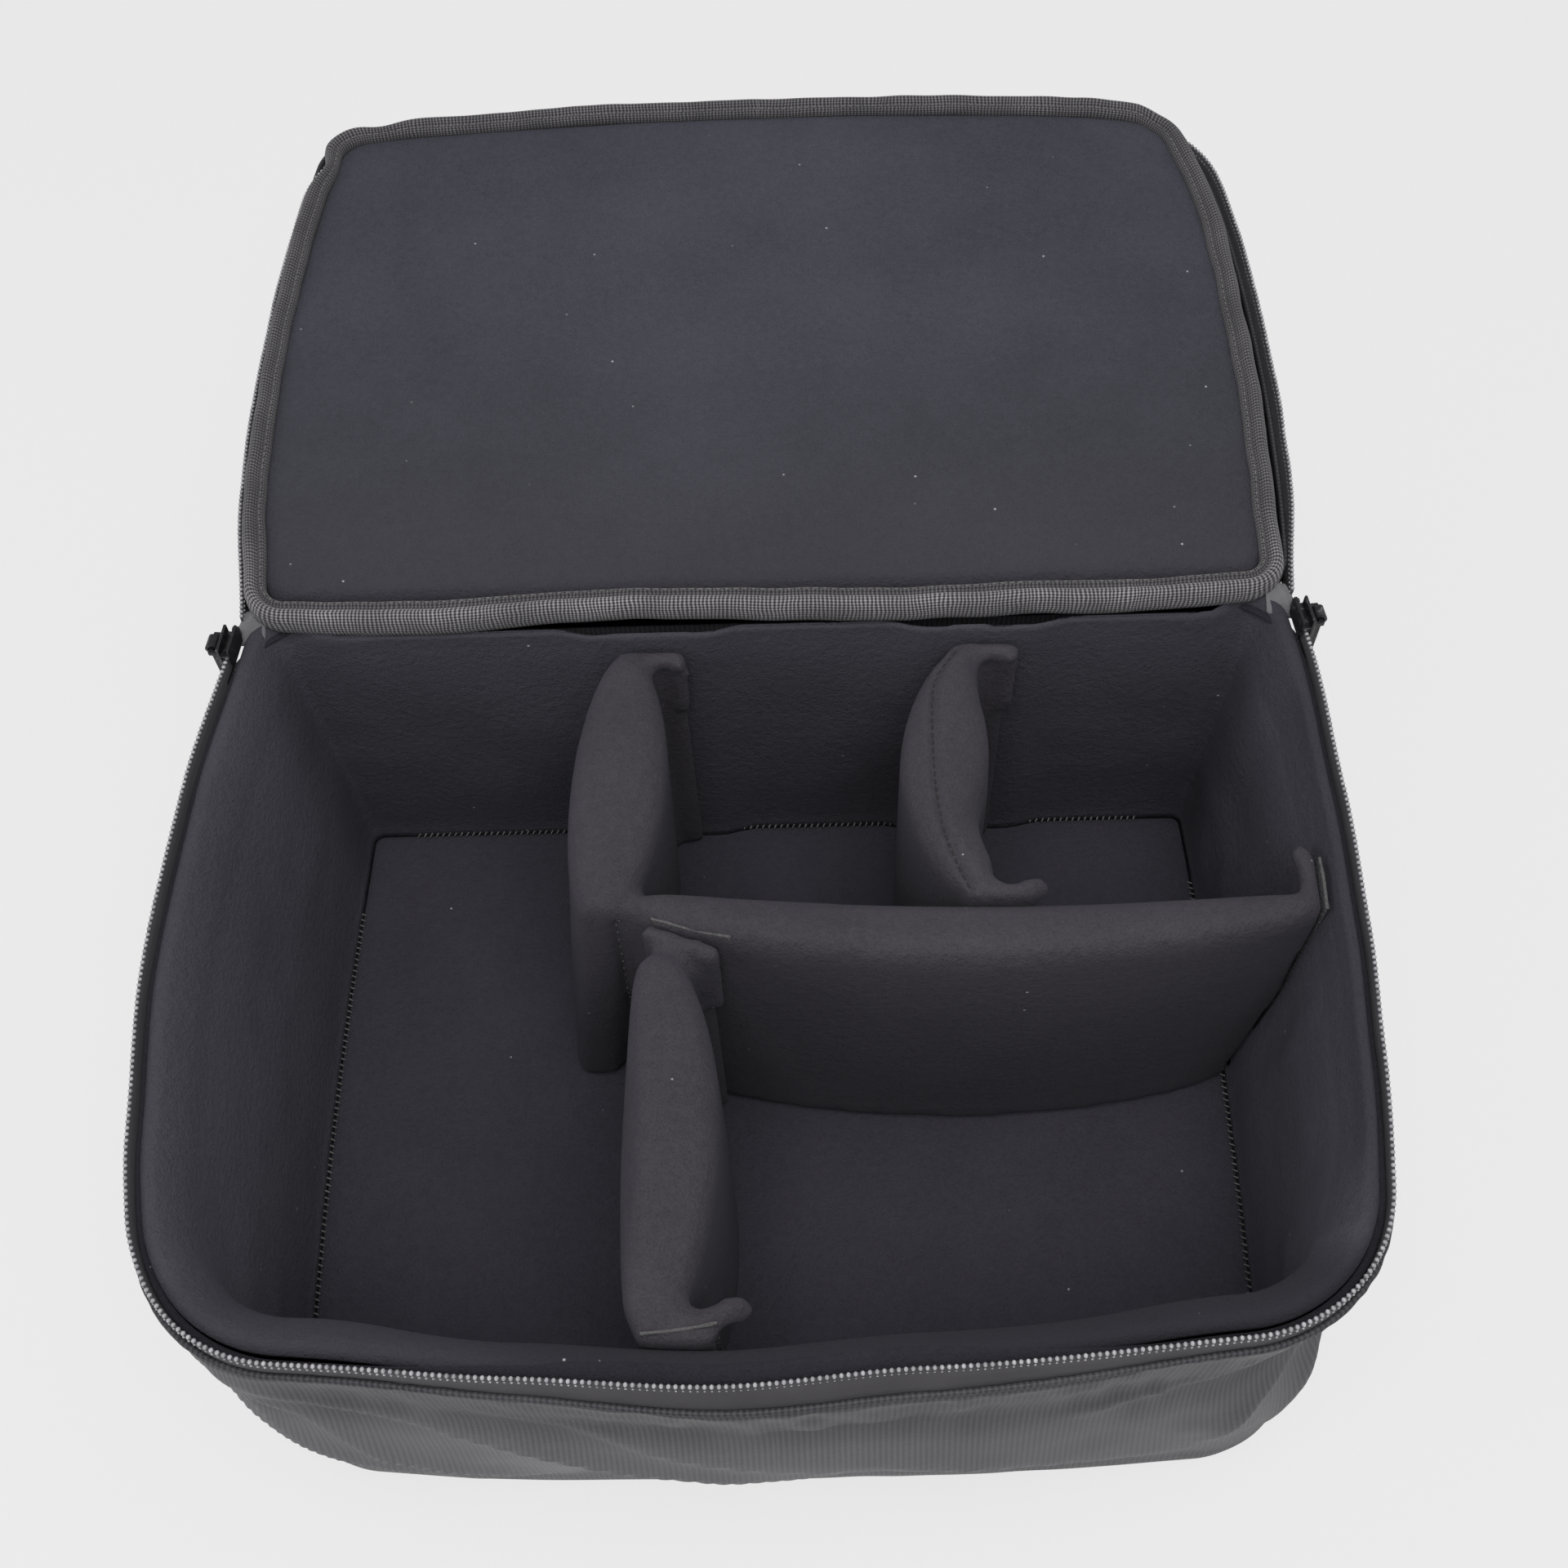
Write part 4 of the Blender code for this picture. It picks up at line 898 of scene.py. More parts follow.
def facing_middle(points):
    """1 where the facing is at its widest, and 0 where it tapers away under the lining's roll."""
    x = points[:, 0]
    return ramp(-points[:, 1], 0.10, 0.115) * ramp(x, -0.115, -0.035) * (1 - ramp(x, 0.035, 0.110))


def painted_lining_shade(points, z):
    """Painted shade on the wall lining: darker on its rolled top, most along the front and the right,
    and all down the back wall.
    """
    x, y = points[:, 0], points[:, 1]
    front = ramp(-y, 0.085, 0.112) * (0.57 + 0.39 * ramp(x, -0.110, -0.045))
    right = 0.53 * ramp(x, 0.140, 0.160) * ramp(y, -0.115, -0.090)
    left = 0.36 * ramp(-x, 0.140, 0.160)
    roll = np.maximum(np.maximum(front, right), left) * ramp(z, 0.122, 0.138)
    return np.maximum(roll, 0.40 * ramp(y, 0.085, 0.105))


def roll_lining(row, z, inset):
    """Lowers the lining's roll at the back, the sides and the front, and moves two walls out."""
    x, y, height = row.T
    back = ramp(y, 0.100, 0.112) * (1 - ramp(np.abs(x), 0.150, 0.166))
    y -= max(0.0, 0.0118 - inset) * back
    height -= 0.0018 * back * ramp(z, 0.137, 0.144)
    beside = ramp(np.abs(x), 0.13, 0.16) * (1 - ramp(-y, 0.07, 0.10))
    fall = np.where(x > 0, 0.0060, 0.0036)
    height -= fall * beside * ramp(inset, 0.0040, 0.0100) * ramp(z, 0.120, 0.137)
    height -= FRONT_ROLL_FALL * front_middle(row) * ramp(z, 0.130, 0.142)
    thin = ramp(x, 0.120, 0.150) * (1 - ramp(-y, 0.060, 0.090)) * (1 - ramp(y, 0.080, 0.100))
    x += RIGHT_SPARE * thin * ramp(inset, 0.003, 0.011) * ramp(z, 0.02, 0.09)
    y += BACK_SPARE * ramp(y, 0.085, 0.108) * (0.15 + 0.85 * tab_clear(row))


def lining_swell(row, z):
    """How far the wall's padding swells into the box, and hardly where a tab is held on it."""
    x, y = row[:, 0], row[:, 1]
    clear = tab_clear(row)
    soft = 0.0012 * waves(row, 0.045, 21) + 0.0006 * waves(row, 0.018, 22) + 0.0018 * clear
    left = np.exp(-((x + 0.128) / 0.030) ** 2 - ((y + 0.100) / 0.030) ** 2)
    right = np.exp(-((x - 0.128) / 0.034) ** 2 - ((y + 0.098) / 0.028) ** 2)
    corners = bump(z, 0.128, 0.026) * (0.0052 * left + 0.0046 * right)
    return (soft * bump(z, 0.075, 0.075) + corners) * np.clip(clear + 0.12, 0.0, 1.0)


def make_lining():
    """The padded velour of the walls: a rolled top and soft walls with crisp back corners."""
    profile = [*LINING_PROFILE, *((WALL_DEPTH, z) for z in np.linspace(0.127, 0.022, 30)),
               (0.0122, 0.0165), (0.0130, 0.0130)]
    rows, painted_shading = [], []
    for inset, z in profile:
        row = level(wall_plan(z, INNER_CORNER).ring(inset, 2), z)
        # painted shade for the lining, kept for its velour to read
        painted_shading.append(painted_lining_shade(row, z))
        roll_lining(row, z, inset)
        rows.append(lean(row - outward(row) * lining_swell(row, z)[:, None]))
    wall = skin("wall_lining_cloth", rows, WALL_VELOUR, closed=True)
    paint(wall, "painted_pile_shade", painted_shading)
    thicken(wall, CLOTH, 1.0)
    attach(wall, "body")
    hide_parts("wall_lining")


def make_floor():
    """The padded velour of the floor, tucked up a little at the walls."""
    ring = wall_plan(0.012, INNER_CORNER).ring(WALL_DEPTH, 1)
    rows = []
    for z, inset in FLOOR_PROFILE:
        inward = inset - WALL_DEPTH
        row = level(ring * ((FLOOR_HALF - inward) / FLOOR_HALF), z)
        row[:, 1] += BACK_SPARE * ramp(row[:, 1], 0.080, 0.108)
        row[:, 2] += 0.0005 * waves(row, 0.030, 31) * ramp(inward / 0.1150, 0.02, 0.1)
        rows.append(lean(row))
    floor = skin("floor_cloth", rows, FLOOR_VELOUR, closed=True, capped="both")
    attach(floor, "body")
    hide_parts("floor_lining")


def make_facing():
    """The strip of cloth behind the zip, which closes the top of the wall."""
    outer, inner = [wall_plan(FACING_Z).ring(inset, 3) for inset in FACING_SPAN]
    rows = []
    for share, z, over_roll in FACING_PROFILE:
        row = level(outer, z)
        wide = front_middle(row)
        width = share * (0.24 + 0.76 * facing_middle(row))
        row[:, :2] += (inner - outer) * width[:, None]
        row[:, 2] += (over_roll - FRONT_ROLL_FALL * (share > 0)) * wide
        rows.append(lean(row))
    facing = thicken(skin("rim_facing_cloth", rows, FACING, closed=True), CLOTH * 0.8)
    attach(facing, "body")
    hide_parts("rim_facing")


def make_floor_seams():
    """Overlocked seams where the floor meets the walls, shown where the threads are loose."""
    ring = level(wall_plan(0.014, INNER_CORNER).ring(0.0142, 2), 0.0148)
    ring[:, 1] += BACK_SPARE * ramp(ring[:, 1], 0.085, 0.108)
    x, y = ring[:, 0], ring[:, 1]
    spans = {"floor_seam_left": (x < -0.15) & (y > -0.09) & (y < 0.085),
             "floor_seam_right": (x > 0.15) & (y > -0.085) & (y < 0.09),
             "floor_seam_back": (y > 0.11) & (np.abs(x) < 0.145),
             "floor_seam_front": (y < -0.11) & (np.abs(x) < 0.12)}
    for name, chosen in spans.items():
        row = ring[chosen]
        if name == "floor_seam_front":
            row = row[np.argsort(row[:, 0])]
        seam = stitches(name, lean(row), 0.0024, (0.0015, 0.00034, 0.00034), PALE_THREAD, turn=1.15)
        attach(seam, "body")


# Lid
BINDING_SECTION = ((0.0058, -0.0062), (0.0036, -0.0050), (0.0026, -0.0022), (0.0028, 0.0006),
                   (0.0038, 0.0030), (0.0052, 0.0042), (0.0066, 0.0038), (0.0076, 0.0026),
                   (0.0082, 0.0019), (0.0088, 0.0026), (0.0096, 0.0031), (0.0104, 0.0027),
                   (0.0109, 0.0014), (0.0108, -0.0020))
# The hinge cloth's way up from the back wall, and over to the lid's shell
HINGE_PATH = ((0.1288, 0.1402), (0.1286, 0.1440), (0.1278, 0.1478), (0.1266, 0.1512),
              (0.1302, 0.1462), (0.1303, 0.1430), (0.1304, 0.1395))
HINGE_HALF = 0.158
TAPE_END_LEFT = (-0.0655, -0.0635)
TAPE_END_RIGHT = (0.1240, 0.1260)
LID_FAR_CORNER = 0.024
LID_FAR_GROWTH = 0.0026
LID_LEFT_SHIFT = 0.0032
LID_CORNER_PULL = 0.0055
# Inset and height of the lid's velour pad, before it is stuffed
PAD_PROFILE = ((0.0090, -0.0130), (0.0072, -0.0100), (0.0068, -0.0060), (0.0074, -0.0026),
               (0.0092, -0.0006), (0.0120, 0.0004))
# Inset, how much of its full size, and height of the lid's nylon shell
SHELL_PROFILE = ((0.0008, 1.0, -0.0046), (0.0006, 1.0, -0.0080), (0.0004, 1.0, -0.0115),
                 (0.0005, 1.0, -0.0148), (0.0012, 1.0, -0.0172), (0.0030, 1.0, -0.0190),
                 (0.0055, 1.0, -0.0200), (0.0055, 0.95, -0.0205), (0.0055, 0.85, -0.0207),
                 (0.0055, 0.70, -0.0208))
# Where the lid's edge is pinched in plan, and how far
PINCHES = ((-0.152, 0.252, 0.0050), (-0.176, 0.222, 0.0036), (-0.134, 0.256, -0.0012),
           (0.163, 0.236, 0.0020))


def lid_plan(near=0.0, corner=0.018):
    """The lid's plan, as it would lie closed, with its hinge edge near of the hinge line."""
    sizes = list(RIM_PLAN)
    sizes[1] += LID_FAR_GROWTH
    sizes[2] = HINGE_Y - near
    sizes[3] = LID_FAR_CORNER
    sizes[4] = corner
    return Plan(sizes)


def lid_warp(points):
    """The open lid lies a little skew: out to the left, and drawn in at its far right corner."""
    x, y = points[:, 0], points[:, 1]
    moved = points.copy()
    moved[:, 0] -= LID_LEFT_SHIFT * ramp(-x, 0.10, 0.18) * ramp(y, 0.0, 0.06)
    pull = LID_CORNER_PULL * np.exp(-(np.hypot(x - 0.178, y - 0.245) / 0.034) ** 2)
    moved[:, 0] -= 0.8 * pull
    moved[:, 1] -= 0.6 * pull
    return moved


def binding_drift(points):
    """The lid's edge wanders: in and out, up and down."""
    flat = points * (1, 1, 0)
    x, y = points[:, 0], points[:, 1]
    inward = 0.0010 * waves(flat, 0.050, 41) + 0.0006 * waves(flat, 0.016, 43)
    lift = 0.0007 * waves(flat, 0.060, 42) + 0.0004 * waves(flat, 0.014, 44)
    near = 1 - ramp(y, 0.0, 0.030)
    sag = 0.0045 * bump(x, -0.120, 0.085) + 0.0030 * bump(x, 0.015, 0.085)
    sag = sag + 0.0032 * bump(x, 0.100, 0.095)
    doubled = ramp(x, *TAPE_END_LEFT) * (1 - ramp(x, *TAPE_END_RIGHT)) * near
    right = ramp(x, 0.12, 0.175) * ramp(y, 0.01, 0.05)
    inward = inward - 0.0006 * doubled + 0.0018 * right
    for pinch_x, pinch_y, depth in PINCHES:
        inward = inward + depth * np.exp(-(np.hypot(x - pinch_x, y - pinch_y) / 0.009) ** 2)
    return inward, lift + 0.0008 * doubled, near * sag


def pad_sewn(points):
    """1 along the lid pad's edge and underside, where it is sewn down, and 0 over its middle."""
    x, y, z = points.T
    edge = np.minimum(0.176 - np.abs(x), np.minimum(y - 0.010, 0.250 - y))
    return np.maximum(1 - ramp(edge, 0.001, 0.016), ramp(-z, 0.0080, 0.0110))


def make_binding():
    """The grosgrain folded over the lid's edge, and the stitches along it."""
    plan = lid_plan(near=-0.0016)
    rows = []
    for inset, z in BINDING_SECTION:
        row = lid_row(plan.ring(inset, 3), z)
        side = lid_outward(row)
        inward, lift, sag = binding_drift(row)
        row = row - side * inward[:, None]
        row[:, 1] -= sag
        row[:, 2] += lift - 0.35 * sag * ramp(-z, -0.001, 0.004)
        rows.append(lid_place(row))
    binding = skin("lid_binding_tape", rows, GROSGRAIN, closed=True, flip=True)
    # Painted light and shade on the binding: lighter along the near edge by the hinge and a little at
    # the far edge, and its inner rows darker as painted shadow of the pad's edge, most by the hinge.
    y = lid_row(plan.ring(0.005, 3), 0.0)[:, 1]
    near = 1 - ramp(y, 0.004, 0.045)
    painted_shading = 0.42 + 0.58 * near + 0.16 * ramp(y, 0.22, 0.25)
    inner = ramp(np.arange(len(rows)), 6, 8)[:, None] * (0.20 + 0.45 * near)
    paint(binding, "painted_binding_shading", painted_shading * (1 - inner))
    thicken(binding, 0.0007)
    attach(binding, "lid")
    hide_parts("lid_binding")
    line = rows[10] + (0.0, 0.0, 0.00015)
    seam = stitches("lid_binding_stitches", line, 0.0030, (0.00085, 0.00030, 0.00028), PALE_THREAD,
                    closed=True)
    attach(seam, "lid")


def make_lid_pad():
    """The lid's velour pad, stuffed."""
    plan = lid_plan(near=0.002, corner=0.016)
    rows = [lid_row(plan.ring(inset, 1), z) for inset, z in PAD_PROFILE]
    rows.append(shrunk(rows[-1], 0.92))
    pad = skin("lid_pad", rows, LID_VELOUR, closed=True, capped="both", flip=True)
    pad = padded(pad, 0.0042, pad_sewn, 1.6, 0.0022, LID_VELOUR)
    place_mesh(pad, lid_place)
    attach(pad, "lid")
    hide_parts("lid_lining")


def make_lid_shell():
    """The lid's nylon, round its edge and underneath."""
    plan = lid_plan(near=0.0110 - 0.0023, corner=0.012)
    rows = []
    for inset, share, z in SHELL_PROFILE:
        row = shrunk(lid_row(plan.ring(inset, 2), z), share)
        soft = 0.0005 * waves(row, 0.016, 51) + 0.0007 * waves(row, 0.040, 52)
        row = row + lid_outward(row) * (soft * ramp(-z, 0.005, 0.010))[:, None]
        row[:, 2] -= 0.0005 * waves(row, 0.035, 53) * ramp(-z, 0.016, 0.020)
        rows.append(lid_place(row))
    shell = thicken(skin("lid_shell", rows, NYLON, closed=True, capped="last"), CLOTH)
    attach(shell, "lid")
    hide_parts("lid_cover", "lid_foam")


def make_lid_zip():
    """The lid's half of the zip: its tape and its teeth."""
    rows = []
    for share in np.linspace(0.0, 1.0, 5):
        z = -0.0016 - 0.0125 * share
        row = lid_row(Plan(RIM_PLAN).run(0.0002 + 0.0004 * share, ZIP_END_Y, 2), z)
        splay = 0.0022 * ramp(row[:, 0], 0.10, 0.17) * ramp(row[:, 1], 0.01, 0.05) * (1 - share)
        splay = splay - 0.0012 * ramp(-row[:, 0], 0.10, 0.17) * (1 - share)
        splay = splay + 0.0004 * waves(row, 0.02, 61)
        rows.append(lid_place(row + lid_outward(row, closed=False) * splay[:, None]))
    tape = thicken(skin("zip_tape_lid", rows, TAPE), TAPE_THICKNESS, 0.0)
    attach(tape, "lid")
    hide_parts("lid_zip_tape")
    teeth = make_teeth("zip_teeth_lid", rows[0])
    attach(teeth, "lid")
    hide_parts("lid_zip_chain")


def make_hinge_cloth():
    """The cloth that joins the back wall to the lid's shell, folded up inside the open binding.

    Its body half stands behind the hinge line, so that it covers the back when the lid is shut.
    """
    x = np.linspace(-HINGE_HALF, HINGE_HALF, 90)
    rows = []
    for y, z in HINGE_PATH:
        row = level(np.column_stack([x, np.full(len(x), y)]), z)
        row[:, 2] += 0.0003 * waves(row, 0.020, 71)
        rows.append(row)
    cloth = skin("hinge_cloth", rows, NYLON, flip=True)
    # an even middle value of the painted shading that the nylon reads
    paint(cloth, "painted_nylon_shading", np.full(len(cloth.data.vertices), 0.45))
    thicken(cloth, THIN_CLOTH)
    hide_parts("hinge_strip", "lid_hinge_panel")
    apply_all(cloth)
    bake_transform(cloth)


def make_gussets():
    """The folded nylon at each back corner, where the wall's cloth turns up to meet the lid."""
    across = np.linspace(0.0, 1.0, 9)
    for name, side in (("gusset_left", -1.0), ("gusset_right", 1.0)):
        rows = []
        for share in np.linspace(0.0, 1.0, 7):
            row = np.column_stack([
                side * (0.1700 + 0.0120 * across - 0.0050 * share * across),
                0.1185 + 0.0095 * share - 0.0030 * across * (1 - share),
                0.1432 + 0.0048 * math.sin(1.4 * share) + 0.0006 * np.sin(9 * across + 3 * share)])
            rows.append(lean(row))
        cloth = thicken(refine(skin(name, rows, GUSSET, flip=side < 0)), THIN_CLOTH)
        apply_all(cloth)
        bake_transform(cloth)


CLOTH_SETTINGS = {"quality": 6, "mass": 0.3, "tension_stiffness": 12, "compression_stiffness": 12,
                  "shear_stiffness": 6, "bending_stiffness": 0.6, "use_pressure": True,
                  "vertex_group_mass": "sewn"}
CLOTH_STEPS = 20


def padded(piece, voxel, sewn, pressure, cap, look):
    """Swells a closed skin as a stuffed piece: remeshed evenly, then blown up as cloth.

    sewn gives 1 where the cloth is sewn down and stays, and 0 where it is free; no point moves
    by more than the cap.
    """
    remesh = piece.modifiers.new("even", "REMESH")
    remesh.mode = "VOXEL"
    remesh.voxel_size = voxel
    relax = piece.modifiers.new("relax", "SMOOTH")
    relax.iterations = 3
    relax.factor = 0.5
    apply_all(piece)
    piece.data.materials.clear()
    piece.data.materials.append(look)
    rest = points_of(piece)
    group = piece.vertex_groups.new(name="sewn")
    for index, weight in enumerate(np.clip(sewn(rest), 0.0, 1.0)):
        if weight > 0.001:
            group.add([index], float(weight), "REPLACE")
    cloth = piece.modifiers.new("Cloth", "CLOTH")
    for setting, value in CLOTH_SETTINGS.items():
        setattr(cloth.settings, setting, value)
    cloth.settings.uniform_pressure_force = pressure
    cloth.settings.effector_weights.gravity = 0.0
    cloth.collision_settings.use_collision = False
    cloth.point_cache.frame_start = 1
    cloth.point_cache.frame_end = CLOTH_STEPS
    for step in range(1, CLOTH_STEPS + 1):
        bpy.context.scene.frame_set(step)
    apply_all(piece)
    piece.vertex_groups.clear()
    moved = points_of(piece) - rest
    size = np.linalg.norm(moved, axis=1, keepdims=True)
    moved = moved * np.minimum(1.0, cap / np.maximum(size, 1e-9))
    place_mesh(piece, lambda points: rest + moved)
    bpy.context.scene.frame_set(1)
    piece.data.polygons.foreach_set("use_smooth", [True] * len(piece.data.polygons))
    return refine(piece)


# Dividers
PAD_FOOT_Z = 0.0135
PAD_TOP_Z = 0.1420
ROLL_HEIGHT = 0.010
END_HALF = 0.0034
PAD_STATIONS = 30
SEAM_HALF_WIDTH = 0.0013
TAB_HELD_REACH = 0.0035
HOOK_THICKNESS = 0.0009
PAD_SWELL = 0.0018
TAB_SPACE = 0.0050
# The seam along the top of the rear divider, from the back wall forward
TOP_SEAM = ((0.0650, 0.110), (0.0580, 0.100), (0.0556, 0.088), (0.0548, 0.062), (0.0560, 0.042),
            (0.0600, 0.027), (0.0640, 0.018))


class Pad:
    """A stuffed divider in plan: a lens on a bowed line between two ends that lean with walls."""

    def __init__(self, start_at, end_at, bow, half, fullness=0.55, end_half=END_HALF, waist=0.0):
        self.start_at, self.end_at = start_at, end_at
        self.bow, self.half, self.fullness = bow, half, fullness
        self.end_half, self.waist = end_half, waist

    def line(self, z):
        start, end = np.array(self.start_at(z)), np.array(self.end_at(z))
        top = np.array(self.end_at(PAD_TOP_Z)) - np.array(self.start_at(PAD_TOP_Z))
        along = top / np.linalg.norm(top)
        across = np.array((-along[1], along[0]))
        share = np.linspace(0.0, 1.0, PAD_STATIONS)[:, None]
        middle = start + (end - start) * share + across * 4 * self.bow * share * (1 - share)
        return middle, across, share[:, 0]

    def ring(self, z, width_share, draw):
        middle, across, share = self.line(z)
        swell = np.sin(np.pi * share) ** self.fullness
        least = END_HALF + (self.end_half - END_HALF) * share
        half = (least + (self.half - least) * swell) * width_share
        along = np.array((across[1], -across[0]))
        pull = (draw * (1 - 2 * share))[:, None] * along
        pinched = self.waist * (bump(share, 0.72, 0.22) - 0.6 * bump(share, 0.36, 0.26))
        near = middle - across * half[:, None] + pull
        far = middle + across * (half * (1 - pinched))[:, None] + pull
        return level(np.vstack([near, far[::-1]]), z)


def pad_body(name, pad, roll):
    """The closed, unswollen skin of a divider, with its top rolled over."""
    rows = [pad.ring(z, 1.0, 0.0) for z in np.linspace(PAD_FOOT_Z, PAD_TOP_Z - ROLL_HEIGHT, 12)]
    rows += [pad.ring(PAD_TOP_Z - ROLL_HEIGHT * drop, width, draw) for drop, width, draw in roll]
    return skin(name, rows, PAD_VELOUR, closed=True, capped="both")


ROUND_ROLL = ((0.75, 0.99, 0.0), (0.50, 0.95, 0.0004), (0.28, 0.87, 0.0010), (0.12, 0.74, 0.0018),
              (0.03, 0.56, 0.0026), (0.0, 0.38, 0.0034))
PEAKED_ROLL = ((0.80, 0.98, 0.0), (0.60, 0.92, 0.0004), (0.40, 0.78, 0.0010), (0.22, 0.58, 0.0016),
               (0.08, 0.34, 0.0026), (0.0, 0.14, 0.0034))


def copy_of(node, name):
    """A loose copy of one of the frame's solids, as a start for a sewn shape."""
    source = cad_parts[node]
    piece = bpy.data.objects.new(name, source.data.copy())
    piece.data.materials.clear()
    piece.data.materials.append(PAD_VELOUR)
    bpy.context.scene.collection.objects.link(piece)
    return piece


def node_points(node):
    """The points of one of the frame's solids, their limits, and its longer axis in plan."""
    points = np.array([v.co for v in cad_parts[node].data.vertices])
    low, high = points.min(0), points.max(0)
    return points, low, high, 0 if high[0] - low[0] > high[1] - low[1] else 1


def tab_roll(name, node, radius, reach, drop, stand=0.0):
    """The thick rolled edge of a tab: along its top, over its free end and a way down."""
    points, low, high, axis = node_points(node)
    top = points[points[:, 2] > high[2] - 0.0005]
    ends = [top[np.abs(top[:, axis] - pick(top[:, axis])) < 0.0008].mean(0) for pick in (min, max)]
    ends[0][axis] += 0.0055
    ends[1][axis] += reach
    hook_low, hook_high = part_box(node[:-4] + "_hook")
    behind = (hook_low[1 - axis] + hook_high[1 - axis]) / 2
    inside = math.copysign(1.0, (low[1 - axis] + high[1 - axis]) / 2 - behind)
    path = []
    for share in np.linspace(0.0, 1.0, 14):
        place = ends[0] + (ends[1] - ends[0]) * share
        place[2] = high[2] - radius * 0.8 - 0.0016 * bump(share, 0.55, 0.45)
        place[1 - axis] += inside * (0.0010 + stand * (0.45 + 0.55 * share))
        path.append(place)
    for step in range(1, 9):
        turn = math.pi / 2 * min(1.0, step / 4)
        place = path[13].copy()
        place[axis] += radius * math.sin(turn)
        place[2] -= radius * (1 - math.cos(turn)) + drop * max(0.0, step / 4 - 1)
        place[1 - axis] += inside * 0.0012
        path.append(place)
    beside = np.zeros(3)
    beside[1 - axis] = 1.0 if axis == 1 else -1.0
    thick = radius * (1 + 0.30 * bump(np.arange(len(path)), 14, 5))
    return tube(name, np.array(path), thick, PAD_VELOUR, beside)


def make_divider(name, body, pads, tabs, extra, roll):
    """One divider: its pads, tabs and crease as one sewn and stuffed skin.

    tabs gives each tab's rolled edge: its radius, its reach past the end, its drop there, and
    where it stands off the wall, how far.
    """
    pieces = [pad_body(f"{name}_{n}", pad, roll[n]) for n, pad in enumerate(pads)]
    for tab, sizes in tabs.items():
        pieces.append(copy_of(f"{tab}_tab", f"{name}_{tab}"))
        pieces.append(tab_roll(f"{name}_{tab}_roll", f"{tab}_tab", *sizes))
    pieces += [copy_of(node, f"{name}_{node}") for node in extra]
    whole = joined(*pieces)
    whole.name = name
    tab_boxes = [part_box(f"{tab}_tab") for tab in tabs] + [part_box(node) for node in extra]

    def held(points):
        sewn = np.zeros(len(points))
        for low, high in tab_boxes:
            inside = np.ones(len(points))
            for k in (0, 1):
                away = np.maximum(low[k] - points[:, k], points[:, k] - high[k])
                inside *= 1 - ramp(away, 0.0, TAB_HELD_REACH)
            sewn = np.maximum(sewn, inside * 0.85)
        return np.maximum(sewn, 1 - ramp(points[:, 2], PAD_FOOT_Z, PAD_FOOT_Z + 0.01))

    padded(whole, 0.0026, held, 2.4, PAD_SWELL, PAD_VELOUR)
    place_mesh(whole, lean)
    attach(whole, body)
    return whole


def struck(piece, origins, way):
    """Where rays from the origins first meet a piece, and the surface's direction there."""
    tree = BVHTree.FromObject(piece, bpy.context.evaluated_depsgraph_get())
    hits = [tree.ray_cast(Vector(origin), Vector(way)) for origin in origins]
    return (np.array([hit[0] for hit in hits if hit[0]]),
            np.array([hit[1] for hit in hits if hit[0]]))


def sew(piece, name, origins, way, depth, pitch, size, look):
    """Draws a seam into a stuffed piece where rays meet it, with stitches along it."""
    apply_all(piece)
    line, _ = struck(piece, origins, way)
    line = evened(line, 160)
    points = points_of(piece)
    pull = np.zeros(len(points))
    for at in range(0, len(points), 4000):
        away = np.linalg.norm(points[at:at + 4000, None] - line[None], axis=2).min(1)
        pull[at:at + 4000] = depth * np.exp(-(away / SEAM_HALF_WIDTH) ** 2)
    place_mesh(piece, lambda p: p + pull[:, None] * np.asarray(way))
    line, normals = struck(piece, line - 0.03 * np.asarray(way), way)
    return stitches(name, line + normals * size[2] * 0.3, pitch, size, look, normals)


def make_hooks(body, tab, rise, longer=0.0, stand=(0.0, 0.0)):
    """The strip of hook tape under a tab, and its pale woven edge where it shows."""
    node = f"{tab}_hook"
    points, low, high, across = node_points(node)
    foot = points[points[:, 2] < low[2] + 0.0005]
    head = points[points[:, 2] > high[2] - 0.0005]
    tab_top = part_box(f"{tab}_tab")[1].z
    rows = []
    for z, share in ((low[2], 0.0), ((low[2] + tab_top) / 2, 0.5), (tab_top + rise, 1.0)):
        ends = []
        for pick in (min, max):
            edge = pick(foot[:, across]), pick(head[:, across])
            a = foot[np.abs(foot[:, across] - edge[0]) < 0.0006].mean(0)
            b = head[np.abs(head[:, across] - edge[1]) < 0.0006].mean(0)
            end = a + (b - a) * share
            end[across] += longer if pick is max else 0.0
            ends.append(end[:2])
        run = np.linspace(0.0, 1.0, 12)[:, None]
        row = level(ends[0] + (ends[1] - ends[0]) * run, z)
        row[:, 1 - across] += share ** 2 * (stand[0] + (stand[1] - stand[0]) * run[:, 0])
        row[:, 2] += 0.0006 * np.sin(run[:, 0] * 5.0 + low[0] * 300) * share
        rows.append(row)
    strip = skin(f"{tab}_hook_strip", [lean(row) for row in rows], HOOKS)
    thicken(strip, HOOK_THICKNESS, 0.0)
    strip.data.materials.append(SELVAGE)
    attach(strip, body)
    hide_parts(node)
    edge = evened(lean(rows[-1]), 40)
    bead = tube(f"{tab}_hook_edge", edge, 0.00050, SELVAGE)
    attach(bead, body)
    return strip, bead


